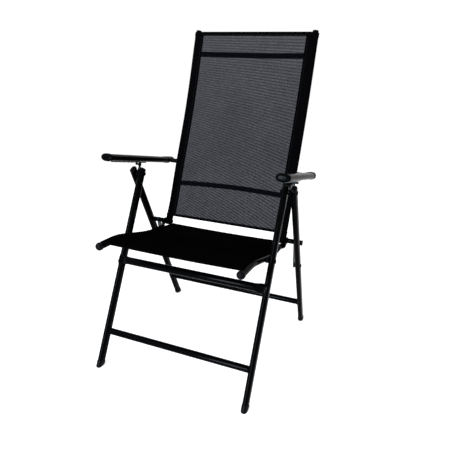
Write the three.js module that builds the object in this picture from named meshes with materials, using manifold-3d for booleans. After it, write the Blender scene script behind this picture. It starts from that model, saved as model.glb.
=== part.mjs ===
// Folding sling patio chair: scissor legs, hinged seat, reclining back and armrests on ratchet links.
// Millimetres. +X is to the right seen from the front, +Y runs to the rear, +Z is up.
// The origin is on the floor, under the middle of the whole chair.

import * as THREE from 'three';
import { mergeVertices } from 'three/addons/utils/BufferGeometryUtils.js';
import Module from 'manifold-3d';

const wasm = await Module();
wasm.setup();

// Overall layout
const clearance = 0.3;
const middleBehindFeet = 15.03;
const footHalfSpread = 298;
const crossY = -35;
const crossZ = 592;
const seatPivotZ = 399;
const rodZ = 391;
const linkDrop = 94;
const frontLegX = 250;
const legGap = 10;

// Leg tubes, a flat oval narrow across the chair and deep along it
const legWide = 18;
const legDeep = 28.5;
const legWall = 1.3;
const legBeyondBolt = 12;
const rearLegX = frontLegX + legWide + legGap;
const legInnerX = frontLegX - legWide / 2;
const legOuterX = frontLegX + legWide / 2;
const linkX = (frontLegX + rearLegX) / 2;

// Plastic feet and leg caps
const footWall = 1.4;
const footSole = 3;
const footSkirt = 9;
const capRise = 7;
const capRound = 6;
const capPlug = 5.5;

// Bolts and rivets
const boltR = 4;
const headR = 7;
const seatHeadR = 6;
const headThick = 2.4;
const nutThick = 5;
const nutR = 7.5;
const nutTopR = 5.5;

// Stretchers between the legs
const stretcherR = 10.5;
const stretcherWall = 1.3;
const lowStretcherZ = 106;
const rearStretcherZ = 104;
const highStretcherR = 12.2;
const highStretcherZ = 322;
const tabThick = 5;
const tabTall = 31;
const tabPressLong = 26;
const tabPlaceShares = [0, 0.5, 0.85];
const tabScrewDrop = 6;
const screwR = 3;
const screwHeadR = 5.5;
const screwHeadRise = 2.2;
const screwHeadTopShare = 0.8;

// Seat frame
const seatTubeR = 10.5;
const seatTubeWall = 1.3;
const seatBushLong = 10;
const seatBushR = 8;
const seatAhead = 187;
const seatFrontRise = 24.5;
const seatDip = 16.3;
const seatFrontShares = [[1, 1], [0.552, 0.9], [0.253, 0.45]];
const seatRearShares = [
  [0.092, 0.24], [0.26, 0.64], [0.4475, 0.945], [0.66, 1], [0.82, 0.9], [0.93, 0.5], [1, 0],
];
const seatTubeX = legInnerX - seatBushLong - seatTubeR;
const domeLong = 9.5;
const domeRimR = 11.2;
const domeRimLong = 2;
const tubePlugLong = 10;
const spreaderR = 8;
const spreaderWall = 1.2;
const frontSpreaderBow = 12;
const rearSpreaderBow = 24;
const frontSpreaderAhead = 75;
const rearSpreaderShare = 0.615;

// Seat rear ends, pressed flat outside the back tubes
const pressedThick = 5;
const pressedR = 11.5;
const pressStart = 46;
const pressEnd = 20;
const pressGap = 1;

// Rod across each side at the back pivot
const rodR = 8.5;
const rodDiscR = 9.5;
const rodDiscThick = 2.8;
const rodDiscGap = 1.2;

// Flat links
const linkThick = 4;
const linkHalfWide = 9.7;
const linkBossR = 8;

// Back frame
const backTubeR = 10;
const backTubeWall = 1.2;
const backLean = 226;
const backRise = 685;
const backBelow = 13;
const backShares = [
  [0, 0], [0.062, 0.048], [0.124, 0.096], [0.184, 0.152], [0.258, 0.224], [0.341, 0.304],
  [0.505, 0.45], [0.66, 0.595], [0.793, 0.741], [0.909, 0.886], [1, 1],
];
const lowBarR = 9.1;
const highBarR = 9.6;
const barWall = 1.2;
const barBow = 34;
const lowBarShare = 0.6435;
const highBarShare = 0.8847;
const backCapRise = 3.5;

// Sling cloth
const slingThick = 2.2;
const clothGap = 0.5;
const backSlingFrom = 20;
const backSlingTopGap = 4;
const seatSlingFrom = 4.5;
const seatSlingWrap = THREE.MathUtils.degToRad(16);
const seatSlingSag = 3;
const seatWebShares = [-0.6, 0, 0.6];
const seatEdgeBehind = 6;
const seatEdgeDrop = 9.5;
const swingRoomR = 56;
const swingRoomGap = 0.8;

// Armrests
const armWide = 40;
const armTall = 22;
const armWall = 2;
const armAhead = 374;
const armBehind = 44;
const armSlope = THREE.MathUtils.degToRad(8.62);
const armPivotAboveCross = 15;
const armPlugRise = 6;
const armPlugLong = 12;
const armRearLong = 54;
const armRearWall = 1.2;
const spacerR = 8;

// Ratchet rail under each armrest, and the pin that it rests on
const railFrom = 146;
const railLong = 202;
const railThick = 3;
const railTall = 3;
const notchR = 3.6;
const notchPitch = 22.6;
const notchCount = 7;
const notchDepth = 2;
const pinR = 3.5;
const pinGap = 0.6;
const pinFrom = 199;
const pinLong = 16;
const topLinkHalfWide = 6.4;
const topLinkStep = 4;
const stepFrom = 20;
const stepRoom = 6;

// Outline and ring counts
const ovalSegments = 4;
const roundSegments = 6;
const barSegments = 5;
const barSteps = 6;
const latheSides = 12;
const capSteps = 3;
const domeSteps = 4;
const wrapSteps = 7;
const copeSteps = 3;
const plainSteps = 12;
const pressSteps = 4;
const backSteps = 9;
const halvings = 30;

// How far cuts run past what they cut
const cutOverrun = 5;

// Side-view helpers: points are [y, z]
const crossing = new THREE.Vector2(crossY, crossZ);

function legLine(footY) {
  const foot = new THREE.Vector2(footY, 0);
  const run = crossing.clone().sub(foot);
  const length = run.length();
  const direction = run.normalize();
  return { foot, direction, length, turn: -Math.atan2(direction.x, direction.y) };
}

function pointAtHeight(line, height) {
  return line.foot.clone().addScaledVector(line.direction, height / line.direction.y);
}

const frontLine = legLine(-footHalfSpread);
const rearLine = legLine(footHalfSpread);
const seatPivot = pointAtHeight(frontLine, seatPivotZ);
const linkPivotZ = rodZ - linkDrop;
const linkPivot = pointAtHeight(rearLine, linkPivotZ);

// The rod lies just behind the rear leg, which is what stops the chair from spreading
const rod = pointAtHeight(rearLine, rodZ);
rod.x += (legDeep / 2 + rodR + clearance) / rearLine.direction.y;

// Mesh helpers
function tidied(geometry) {
  const plain = geometry.index ? geometry.clone() : geometry;
  plain.deleteAttribute('normal');
  plain.deleteAttribute('uv');
  const merged = mergeVertices(plain);
  const position = merged.attributes.position;
  const index = merged.index.array;
  const corner = [0, 1, 2].map(() => new THREE.Vector3());
  const kept = [];
  let volume = 0;
  for (let i = 0; i < index.length; i += corner.length) {
    const [a, b, c] = index.slice(i, i + corner.length);
    if (a !== b && b !== c && c !== a) {
      kept.push(a, b, c);
      [a, b, c].forEach((vertex, k) => corner[k].fromBufferAttribute(position, vertex));
      volume += corner[0].dot(corner[1].cross(corner[2]));
    }
  }
  merged.setIndex(volume < 0 ? kept.reverse() : kept);
  return merged;
}

function toSolid(geometry) {
  const closed = tidied(geometry);
  const vertProperties = new Float32Array(closed.attributes.position.array);
  const triVerts = new Uint32Array(closed.index.array);
  return new wasm.Manifold(new wasm.Mesh({ numProp: 3, vertProperties, triVerts }));
}

function toGeometry(solid) {
  const mesh = solid.getMesh();
  const geometry = new THREE.BufferGeometry();
  geometry.setAttribute('position', new THREE.BufferAttribute(mesh.vertProperties, 3));
  geometry.setIndex(new THREE.BufferAttribute(mesh.triVerts, 1));
  return geometry;
}

function joinAndCut(bodies, cuts = []) {
  let solid = toSolid(bodies[0]);
  for (const body of bodies.slice(1)) {
    solid = solid.add(toSolid(body));
  }
  for (const cut of cuts) {
    solid = solid.subtract(toSolid(cut));
  }
  return toGeometry(solid);
}

function mirrored(geometry) {
  return tidied(geometry.clone().scale(-1, 1, 1));
}

// Outlines
function circle(radius) {
  return new THREE.Shape().absarc(0, 0, radius, 0, Math.PI * 2);
}

function ring(radius, wall) {
  const shape = circle(radius);
  shape.holes.push(new THREE.Path().absarc(0, 0, radius - wall, 0, Math.PI * 2));
  return shape;
}

function ovalOn(path, wide, deep) {
  const radius = wide / 2;
  const straight = deep / 2 - radius;
  path.absarc(0, straight, radius, 0, Math.PI);
  path.absarc(0, -straight, radius, Math.PI, Math.PI * 2);
  return path;
}

function oval(wide, deep) {
  return ovalOn(new THREE.Shape(), wide, deep);
}

function hollowOval(wide, deep, wall) {
  const shape = oval(wide, deep);
  shape.holes.push(ovalOn(new THREE.Path(), wide - 2 * wall, deep - 2 * wall));
  return shape;
}

// Solids
function prism(shape, from, to, curveSegments = ovalSegments) {
  const options = { depth: to - from, bevelEnabled: false, curveSegments };
  return new THREE.ExtrudeGeometry(shape, options).translate(0, 0, from);
}

function tubeAlong(shape, extrudePath, steps, curveSegments = roundSegments) {
  return new THREE.ExtrudeGeometry(shape, { extrudePath, steps, curveSegments, bevelEnabled: false });
}

function barX(radius, from, to, at = [0, 0]) {
  const bar = new THREE.CylinderGeometry(radius, radius, to - from, latheSides);
  return bar.rotateZ(Math.PI / 2).translate((from + to) / 2, at[0], at[1]);
}

// A turned piece on an axis along X, its profile given as [radius, x]
function turnedX(profile, at = [0, 0]) {
  const points = profile.map(([radius, x]) => new THREE.Vector2(radius, x));
  const turned = new THREE.LatheGeometry(points, latheSides).rotateZ(-Math.PI / 2);
  return tidied(turned.translate(0, at[0], at[1]));
}

// Passes an outline through stations; each one turns an outline point into a place
function loft(shape, stations, curveSegments = roundSegments) {
  const steps = stations.length - 1;
  const options = { depth: steps, steps, bevelEnabled: false, curveSegments };
  const geometry = new THREE.ExtrudeGeometry(shape, options);
  const position = geometry.attributes.position;
  for (let i = 0; i < position.count; i += 1) {
    const station = stations[Math.round(position.getZ(i))];
    position.setXYZ(i, ...station(position.getX(i), position.getY(i)));
  }
  return geometry;
}

// A stretch of a curve, between two distances along it
class Stretch extends THREE.Curve {
  constructor(curve, from, to) {
    super();
    this.curve = curve;
    this.from = from / curve.getLength();
    this.to = to / curve.getLength();
  }

  getPoint(share) {
    return this.curve.getPointAt(THREE.MathUtils.lerp(this.from, this.to, share));
  }
}

function sideCurve(points) {
  return new THREE.CatmullRomCurve3(points.map(([y, z]) => new THREE.Vector3(0, y, z)));
}

// The point at a distance along a side curve, and the square direction there:
// up from the seat, to the front from the back
function sideFrame(curve, length, distance) {
  const share = THREE.MathUtils.clamp(distance / length, 0, 1);
  const point = curve.getPointAt(share);
  const tangent = curve.getTangentAt(share);
  const past = distance - share * length;
  return { point: point.addScaledVector(tangent, past), up: new THREE.Vector3(0, -tangent.z, tangent.y) };
}

function sideStation({ point, up }, x = 0) {
  return (u, v) => [x + u, point.y + v * up.y, point.z + v * up.z];
}

// The scene
const chair = new THREE.Group();
chair.name = 'sling_patio_chair';

const finishes = {
  paint: { color: 0x17181b, roughness: 0.32, metalness: 0.55 },
  plastic: { color: 0x121315, roughness: 0.55, metalness: 0 },
  moulding: { color: 0x26282c, roughness: 0.45, metalness: 0 },
  cloth: { color: 0x1b1d22, roughness: 0.9, metalness: 0 },
  zinc: { color: 0xa9adb0, roughness: 0.35, metalness: 0.9 },
};

function add(name, geometry, finish) {
  geometry.computeVertexNormals();
  const mesh = new THREE.Mesh(geometry, new THREE.MeshStandardMaterial(finishes[finish]));
  mesh.name = name;
  chair.add(mesh);
}

function addPair(name, geometry, finish) {
  const closed = tidied(geometry);
  add(`${name}_left`, mirrored(closed), finish);
  add(`${name}_right`, closed, finish);
}

// Legs are made upright at x = 0, their foot point at the origin, then stood on their line
function onLeg(geometry, line, x) {
  return geometry.rotateX(line.turn).translate(x, line.foot.x, 0);
}

function alongLeg(line, height) {
  return height / line.direction.y;
}

function legStart(line) {
  return (footSole + Math.abs(line.direction.x) * legDeep / 2) / line.direction.y;
}

function makeLeg(line, holes) {
  const tube = prism(hollowOval(legWide, legDeep, legWall), legStart(line), line.length + legBeyondBolt);
  const across = legWide / 2 + cutOverrun;
  const cuts = holes.map((height) => barX(boltR + clearance, -across, across, [0, height]));
  return joinAndCut([tube], cuts);
}

function makeFoot(line, x) {
  const start = legStart(line);
  const grow = 2 * footWall + 2 * clearance;
  const shell = prism(oval(legWide + grow, legDeep + grow), -start, start + footSkirt);
  const socketWide = legWide + 2 * clearance;
  const socketDeep = legDeep + 2 * clearance;
  const socket = prism(oval(socketWide, socketDeep), start - clearance, start + footSkirt + cutOverrun);
  const below = legDeep;
  const floorCut = new THREE.BoxGeometry(2 * legDeep, 2 * legDeep, below);
  floorCut.translate(x, line.foot.x, -below / 2);
  return joinAndCut([onLeg(shell, line, x)], [onLeg(socket, line, x), floorCut]);
}

function makeLegCap(line) {
  const base = line.length + legBeyondBolt + clearance;
  const crown = new THREE.ExtrudeGeometry(oval(legWide - 2 * capRound, legDeep - 2 * capRound), {
    depth: 2 * (capRise - capRound),
    bevelThickness: capRound,
    bevelSize: capRound,
    bevelSegments: capSteps,
    curveSegments: ovalSegments,
  });
  crown.translate(0, 0, base - (capRise - capRound));
  const lowerHalf = prism(oval(2 * legWide, 2 * legDeep), base - 2 * capRise, base);
  const inset = 2 * (legWall + clearance);
  const plug = prism(oval(legWide - inset, legDeep - inset), base - capPlug, base + capRise / 2);
  const top = joinAndCut([crown], [lowerHalf]);
  return joinAndCut([top, plug]);
}

// Front legs and what is fixed to them
const frontHoles = [frontLine.length, alongLeg(frontLine, seatPivotZ)];
const tabCentre = -(legDeep / 2 + clearance + tabThick / 2);
const highAlong = alongLeg(frontLine, highStretcherZ);
const screwAlong = highAlong - tabScrewDrop;

function screwSolid(radius, headRadius, reach) {
  const face = tabCentre - tabThick / 2 - clearance;
  const profile = [[0, -reach], [radius, -reach], [radius, -face], [headRadius, -face]];
  profile.push([headRadius * screwHeadTopShare, -face + screwHeadRise], [0, -face + screwHeadRise]);
  const points = profile.map(([r, y]) => new THREE.Vector2(r, y));
  const screw = new THREE.LatheGeometry(points, latheSides).rotateZ(Math.PI);
  return tidied(screw.translate(0, 0, screwAlong));
}

function makeFrontLeg() {
  const leg = makeLeg(frontLine, frontHoles);
  const holeR = screwR + clearance;
  const screwHole = new THREE.CylinderGeometry(holeR, holeR, legDeep / 2, latheSides);
  screwHole.translate(0, -legDeep / 2, screwAlong);
  return onLeg(joinAndCut([leg], [screwHole]), frontLine, frontLegX);
}

addPair('front_leg', makeFrontLeg(), 'paint');
addPair('front_foot', makeFoot(frontLine, frontLegX), 'plastic');
addPair('front_leg_cap', onLeg(makeLegCap(frontLine), frontLine, frontLegX), 'plastic');
const stretcherScrew = screwSolid(screwR, screwHeadR, legDeep / 4);
addPair('stretcher_screw', onLeg(stretcherScrew, frontLine, frontLegX), 'zinc');

// A round stretcher welded between two legs, its ends coped to them
function makeStretcher(line, legX, height) {
  const at = pointAtHeight(line, height);
  const [left, right] = [-legX, legX].map((x) => new THREE.Vector3(x, at.x, at.y));
  const bar = tubeAlong(ring(stretcherR, stretcherWall), new THREE.LineCurve3(left, right), 1);
  const room = 2 * clearance;
  const copes = [-legX, legX].map((x) => {
    const cope = prism(oval(legWide + room, legDeep + room), 0, line.length);
    return onLeg(cope, line, x);
  });
  const past = [-1, 1].map((side) => {
    const end = new THREE.BoxGeometry(legWide, 2 * legDeep, 2 * legDeep);
    return end.translate(side * (legX + legWide / 2), at.x, at.y);
  });
  return joinAndCut([bar], [...copes, ...past]);
}

add('front_low_stretcher', makeStretcher(frontLine, frontLegX, lowStretcherZ), 'paint');

// The high stretcher runs in front of the legs and its ends are pressed into tabs
function makeHighStretcher() {
  const roundEnd = legInnerX - tabPressLong;
  const places = [...tabPlaceShares.map((share) => roundEnd + share * tabPressLong), legOuterX];
  const stations = [...places.map((x) => -x).reverse(), ...places].map((x) => {
    const pressed = THREE.MathUtils.smoothstep(Math.abs(x), roundEnd, legInnerX - clearance);
    const thin = THREE.MathUtils.lerp(1, tabThick / 2 / highStretcherR, pressed);
    const tall = THREE.MathUtils.lerp(1, tabTall / 2 / highStretcherR, pressed);
    return (u, v) => [x, tabCentre + u * thin, highAlong + v * tall];
  });
  const bar = loft(circle(highStretcherR), stations);
  const bore = barX(highStretcherR - stretcherWall, -roundEnd, roundEnd, [tabCentre, highAlong]);
  const vent = new THREE.CylinderGeometry(screwR, screwR, 2 * highStretcherR, latheSides);
  vent.rotateX(Math.PI / 2).translate(0, tabCentre, highAlong - highStretcherR);
  const screwHoles = [-frontLegX, frontLegX].map((x) => {
    const holeR = screwR + clearance;
    const hole = new THREE.CylinderGeometry(holeR, holeR, 2 * stretcherR, latheSides);
    return hole.translate(x, tabCentre, screwAlong);
  });
  return onLeg(joinAndCut([bar], [bore, vent, ...screwHoles]), frontLine, 0);
}

add('front_high_stretcher', makeHighStretcher(), 'paint');

const seatBoltEnd = seatTubeX - headThick;
addPair('seat_bolt', turnedX([
  [0, seatBoltEnd],
  [seatHeadR, seatBoltEnd],
  [seatHeadR, seatTubeX],
  [boltR, seatTubeX],
  [boltR, legOuterX + clearance],
  [headR, legOuterX + clearance],
  [headR, legOuterX + clearance + headThick],
  [0, legOuterX + clearance + headThick],
], seatPivot.toArray()), 'zinc');

const rearLegInnerX = rearLegX - legWide / 2;
const rearLegOuterX = rearLegX + legWide / 2;
addPair('leg_bolt', turnedX([
  [0, legInnerX - clearance - nutThick],
  [nutTopR, legInnerX - clearance - nutThick],
  [nutR, legInnerX - clearance - nutThick / 2],
  [nutR, legInnerX - clearance],
  [boltR, legInnerX - clearance],
  [boltR, rearLegOuterX + clearance],
  [headR, rearLegOuterX + clearance],
  [headR, rearLegOuterX + clearance + headThick / 2],
  [boltR, rearLegOuterX + clearance + headThick],
  [0, rearLegOuterX + clearance + headThick],
], crossing.toArray()), 'zinc');

// Rear legs and what is fixed to them
const rearHoles = [rearLine.length, alongLeg(rearLine, linkPivotZ)];
addPair('rear_leg', onLeg(makeLeg(rearLine, rearHoles), rearLine, rearLegX), 'paint');
addPair('rear_foot', makeFoot(rearLine, rearLegX), 'plastic');
addPair('rear_leg_cap', onLeg(makeLegCap(rearLine), rearLine, rearLegX), 'plastic');
add('rear_stretcher', makeStretcher(rearLine, rearLegX, rearStretcherZ), 'paint');
addPair('link_rivet', turnedX([
  [0, rearLegInnerX],
  [boltR, rearLegInnerX],
  [boltR, rearLegOuterX + clearance],
  [headR, rearLegOuterX + clearance],
  [headR, rearLegOuterX + clearance + headThick / 2],
  [boltR, rearLegOuterX + clearance + headThick],
  [0, rearLegOuterX + clearance + headThick],
], linkPivot.toArray()), 'zinc');

// Seat frame: the side tubes pass through the seat pivot and end on the rod
const seatRun = rod.clone().sub(seatPivot);
const seatFrontPoints = seatFrontShares.map(([run, rise]) => {
  return [seatPivot.x - run * seatAhead, seatPivot.y + rise * seatFrontRise];
});
const seatRearPoints = seatRearShares.map(([run, dip]) => {
  return [seatPivot.x + run * seatRun.x, seatPivot.y + run * seatRun.y - dip * seatDip];
});
const seatCurve = sideCurve([...seatFrontPoints, seatPivot.toArray(), ...seatRearPoints]);
const seatLength = seatCurve.getLength();
const sleeveR = backTubeR + clothGap + slingThick;
const pressedX = seatTubeX + sleeveR + pressGap + pressedThick / 2;

function seatFrame(distance) {
  return sideFrame(seatCurve, seatLength, distance);
}

function seatStation(distance) {
  const { point, up } = seatFrame(distance);
  const pressed = THREE.MathUtils.smoothstep(distance, seatLength - pressStart, seatLength - pressEnd);
  const centreX = THREE.MathUtils.lerp(seatTubeX, pressedX, pressed);
  const thin = THREE.MathUtils.lerp(1, pressedThick / 2 / seatTubeR, pressed);
  const tall = THREE.MathUtils.lerp(1, pressedR / seatTubeR, pressed);
  return (u, v) => [centreX + u * thin, point.y + v * tall * up.y, point.z + v * tall * up.z];
}

// The round stretch of the seat tube and the cloth on it share their stations
const plainLength = seatLength - pressStart;
const plainDistances = [];
for (let i = 0; i <= plainSteps; i += 1) {
  plainDistances.push(plainLength * i / plainSteps);
}

function makeSeatTube() {
  const distances = [...plainDistances];
  const bore = distances.map(seatStation);
  bore[0] = seatStation(-cutOverrun);
  for (let i = 1; i <= pressSteps; i += 1) {
    distances.push(plainLength + (pressStart - pressEnd) * i / pressSteps);
  }
  distances.push(seatLength);
  const outside = loft(circle(seatTubeR), distances.map(seatStation));
  const eye = barX(pressedR, pressedX - pressedThick / 2, pressedX + pressedThick / 2, rod.toArray());
  const inside = loft(circle(seatTubeR - seatTubeWall), bore);
  const rodHole = barX(boltR + clearance, pressedX - pressedThick, pressedX + pressedThick, rod.toArray());
  const boltHole = barX(boltR + clearance, seatTubeX, seatTubeX + 2 * seatTubeR, seatPivot.toArray());
  return joinAndCut([outside, eye], [inside, rodHole, boltHole]);
}

addPair('seat_tube', makeSeatTube(), 'paint');

const seatFrontEnd = seatCurve.getPointAt(0);
const seatFrontTangent = seatCurve.getTangentAt(0);
const domeTurn = Math.atan2(seatFrontTangent.z, seatFrontTangent.y);

// Domed end cap, its plug inside the tube; the profile runs along the tube from the dome's tip
function makeDome() {
  const plugR = seatTubeR - seatTubeWall - clearance;
  const rimTop = clearance + domeRimLong;
  const profile = [[0, -tubePlugLong], [plugR, -tubePlugLong], [plugR, clearance]];
  profile.push([domeRimR, clearance], [domeRimR, rimTop]);
  for (let i = 0; i < domeSteps; i += 1) {
    const angle = Math.PI / 2 * i / domeSteps;
    profile.push([seatTubeR * Math.cos(angle), rimTop + (domeLong - rimTop) * Math.sin(angle)]);
  }
  profile.push([0, domeLong]);
  const points = profile.map(([radius, ahead]) => new THREE.Vector2(radius, ahead));
  const dome = new THREE.LatheGeometry(points, latheSides).rotateX(Math.PI + domeTurn);
  return tidied(dome.translate(seatTubeX, seatFrontEnd.y, seatFrontEnd.z));
}

addPair('seat_tube_cap', makeDome(), 'plastic');

function bushing(radius, from, to, at) {
  const bore = barX(boltR + clearance, from - cutOverrun, to + cutOverrun, at);
  return joinAndCut([barX(radius, from, to, at)], [bore]);
}

// The bush's inner end is coped to the round seat tube
function makeSeatBush() {
  const at = seatPivot.toArray();
  const solid = bushing(seatBushR, seatTubeX, legInnerX - clearance, at);
  const reach = 2 * seatBushR;
  const along = new Stretch(seatCurve, seatAhead - reach, seatAhead + reach);
  const cope = tubeAlong(circle(seatTubeR + clearance), along, copeSteps).translate(seatTubeX, 0, 0);
  return joinAndCut([solid], [cope]);
}

addPair('seat_bush', makeSeatBush(), 'zinc');

// A bar bowed between the two side tubes of a frame, its ends coped to them
function bowedPath(endX, at, bow) {
  const start = new THREE.Vector3(-endX, at.x, at.y);
  const end = new THREE.Vector3(endX, at.x, at.y);
  const middle = new THREE.Vector3(0, at.x + bow.x, at.y + bow.y);
  const control = middle.clone().multiplyScalar(2).sub(start.clone().add(end).multiplyScalar(0.5));
  return new THREE.QuadraticBezierCurve3(start, control, end);
}

function makeBowedBar(radius, wall, endX, at, bow, sideTube) {
  const bar = tubeAlong(ring(radius, wall), bowedPath(endX, at, bow), barSteps, barSegments);
  return joinAndCut([bar], [sideTube, mirrored(sideTube)]);
}

function makeSpreader(distance, bowDown) {
  const { point } = seatFrame(distance);
  const reach = 2 * seatTubeR;
  const along = new Stretch(seatCurve, distance - reach, distance + reach);
  const cope = tubeAlong(circle(seatTubeR + clearance), along, copeSteps).translate(seatTubeX, 0, 0);
  const at = new THREE.Vector2(point.y, point.z);
  return makeBowedBar(spreaderR, spreaderWall, seatTubeX, at, new THREE.Vector2(0, -bowDown), tidied(cope));
}

add('seat_front_spreader', makeSpreader(seatAhead - frontSpreaderAhead, frontSpreaderBow), 'paint');
const rearSpreaderAt = THREE.MathUtils.lerp(seatAhead, seatLength, rearSpreaderShare);
add('seat_rear_spreader', makeSpreader(rearSpreaderAt, rearSpreaderBow), 'paint');

// Seat sling: its edges lie along the tops of the tubes, and it runs free past them at the rear
function seatSlingOutline() {
  const inner = seatTubeR + clothGap;
  const outer = inner + slingThick;
  const arc = (side, radius, from, to) => {
    const points = [];
    for (let i = 0; i <= wrapSteps; i += 1) {
      const angle = THREE.MathUtils.lerp(from, to, i / wrapSteps);
      points.push([side * (seatTubeX + radius * Math.sin(angle)), radius * Math.cos(angle)]);
    }
    return points;
  };
  const web = (height) => seatWebShares.map((share) => {
    return [share * seatTubeX, height - seatSlingSag * (1 - share * share)];
  });
  const face = (radius) => {
    return [...arc(-1, radius, seatSlingWrap, 0), ...web(radius), ...arc(1, radius, 0, seatSlingWrap)];
  };
  const outline = [...face(outer), ...face(inner).reverse()];
  return new THREE.Shape(outline.map(([u, v]) => new THREE.Vector2(u, v)));
}

function makeSeatSling() {
  const leaves = seatLength - swingRoomR;
  const onTube = plainDistances.filter((distance) => distance > seatSlingFrom && distance < leaves);
  const stations = [seatSlingFrom, ...onTube, leaves].map((distance) => sideStation(seatFrame(distance)));
  const last = seatFrame(leaves);
  const lift = seatTubeR + clothGap;
  const from = new THREE.Vector2(last.point.y, last.point.z + lift);
  const to = rod.clone().add(new THREE.Vector2(seatEdgeBehind, -seatEdgeDrop));
  for (const share of [0.5, 1]) {
    const at = from.clone().lerp(to, share);
    stations.push((u, v) => [u, at.x, at.y + v - lift]);
  }
  const sheet = loft(seatSlingOutline(), stations);
  const roomFrom = seatTubeX - sleeveR - swingRoomGap;
  const roomTo = seatTubeX + 2 * seatTubeR;
  const room = barX(swingRoomR, roomFrom, roomTo, rod.toArray());
  return joinAndCut([sheet], [room, mirrored(room)]);
}

add('seat_sling', makeSeatSling(), 'cloth');

// Back pivot: shouldered bolts through the back tubes, seat ends and links, with a sleeve outside
const pressedOuterX = pressedX + pressedThick / 2;
const linkInnerX = linkX - linkThick / 2;
const linkOuterX = linkX + linkThick / 2;
const backInnerX = seatTubeX - backTubeR;
const rodDiscX = rearLegOuterX + rodDiscGap;
addPair('back_bolt', turnedX([
  [0, backInnerX - clearance - nutThick],
  [nutTopR, backInnerX - clearance - nutThick],
  [nutR, backInnerX - clearance - nutThick / 2],
  [nutR, backInnerX - clearance],
  [boltR, backInnerX - clearance],
  [boltR, pressedOuterX + clearance],
  [rodR, pressedOuterX + clearance],
  [rodR, linkInnerX - clearance],
  [boltR, linkInnerX - clearance],
  [boltR, rodDiscX],
  [rodDiscR, rodDiscX],
  [rodDiscR, rodDiscX + rodDiscThick],
  [0, rodDiscX + rodDiscThick],
], rod.toArray()), 'paint');
addPair('rod_sleeve', bushing(rodR, linkOuterX + clearance, rodDiscX - clearance, rod.toArray()), 'paint');

// A flat link with round ends between two points, in the plane of x
function linkPlate(from, to, halfWide, fromX, toX) {
  const run = to.clone().sub(from);
  const shape = new THREE.Shape();
  const half = Math.PI / 2;
  shape.absarc(run.length(), 0, halfWide, -half, half);
  shape.absarc(0, 0, halfWide, half, 3 * half);
  const plate = prism(shape, fromX, toX);
  const basis = new THREE.Matrix4().makeBasis(
    new THREE.Vector3(0, run.x, run.y).normalize(),
    new THREE.Vector3(0, -run.y, run.x).normalize(),
    new THREE.Vector3(1, 0, 0),
  );
  return plate.applyMatrix4(basis).translate(0, from.x, from.y);
}

// The lower boss stops short of the leg, so nothing passes through this open pivot
function makeRearLink() {
  const plate = linkPlate(rod, linkPivot, linkHalfWide, linkInnerX, linkOuterX);
  const boss = barX(linkBossR, linkX, rearLegInnerX - clearance, linkPivot.toArray());
  const hole = barX(boltR + clearance, linkInnerX - cutOverrun, linkOuterX + cutOverrun, rod.toArray());
  return joinAndCut([plate, boss], [hole]);
}

addPair('rear_link', makeRearLink(), 'zinc');

// Back frame: side tubes up from the rod
const backPoints = backShares.map(([lean, rise]) => [rod.x + lean * backLean, rod.y + rise * backRise]);
const lowDirection = new THREE.Vector2(...backPoints[1]).sub(rod).normalize();
const backStart = rod.clone().addScaledVector(lowDirection, -backBelow);
const backCurve = sideCurve([backStart.toArray(), ...backPoints]);
const backLength = backCurve.getLength();

function backPointAt(height) {
  let low = 0;
  let high = 1;
  for (let i = 0; i < halvings; i += 1) {
    const middle = (low + high) / 2;
    if (backCurve.getPointAt(middle).z < height) {
      low = middle;
    } else {
      high = middle;
    }
  }
  const point = backCurve.getPointAt(low);
  return {
    at: new THREE.Vector2(point.y, point.z),
    distance: low * backLength,
  };
}

const armPivotZ = crossZ + armPivotAboveCross;
const armPivot = backPointAt(armPivotZ).at;

// The back tubes and the sleeves on them share their stations
const slingFrom = backBelow + backSlingFrom;
const slingTo = backLength - backSlingTopGap;
const slingDistances = [];
for (let i = 0; i <= backSteps; i += 1) {
  slingDistances.push(THREE.MathUtils.lerp(slingFrom, slingTo, i / backSteps));
}

function backStation(distance, x) {
  return sideStation(sideFrame(backCurve, backLength, distance), x);
}

function makeBackTube() {
  const distances = [0, ...slingDistances, backLength];
  const stations = distances.map((distance) => backStation(distance, seatTubeX));
  const tube = loft(ring(backTubeR, backTubeWall), stations);
  const from = seatTubeX - 2 * backTubeR;
  const to = seatTubeX + 2 * backTubeR;
  const holes = [rod, armPivot].map((at) => barX(boltR + clearance, from, to, at.toArray()));
  return joinAndCut([tube], holes);
}

addPair('back_tube', makeBackTube(), 'paint');

function makeBackCap() {
  const end = backCurve.getPointAt(1);
  const tangent = backCurve.getTangentAt(1);
  const plugR = backTubeR - backTubeWall - clearance;
  const profile = [[0, -tubePlugLong], [plugR, -tubePlugLong], [plugR, clearance], [backTubeR, clearance]];
  profile.push([backTubeR, backCapRise / 2], [plugR, backCapRise], [0, backCapRise]);
  const points = profile.map(([radius, ahead]) => new THREE.Vector2(radius, ahead));
  const cap = new THREE.LatheGeometry(points, latheSides).rotateX(Math.atan2(tangent.z, tangent.y));
  return tidied(cap.translate(seatTubeX, end.y, end.z));
}

addPair('back_tube_cap', makeBackCap(), 'plastic');

// The low bar lies between the rod and the armrest bolt, the high bar near the top of the back.
// Both bow straight to the rear.
const lowBar = backPointAt(THREE.MathUtils.lerp(rodZ, armPivotZ, lowBarShare));
const highBar = backPointAt(rodZ + backRise * highBarShare);
const barsRearward = new THREE.Vector2(barBow, 0);

function makeBackBar(radius, place) {
  const reach = 2 * backTubeR;
  const along = new Stretch(backCurve, place.distance - reach, place.distance + reach);
  const cope = tubeAlong(circle(backTubeR + clearance), along, copeSteps).translate(seatTubeX, 0, 0);
  return makeBowedBar(radius, barWall, seatTubeX, place.at, barsRearward, tidied(cope));
}

add('back_low_bar', makeBackBar(lowBarR, lowBar), 'paint');
add('back_high_bar', makeBackBar(highBarR, highBar), 'paint');

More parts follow.
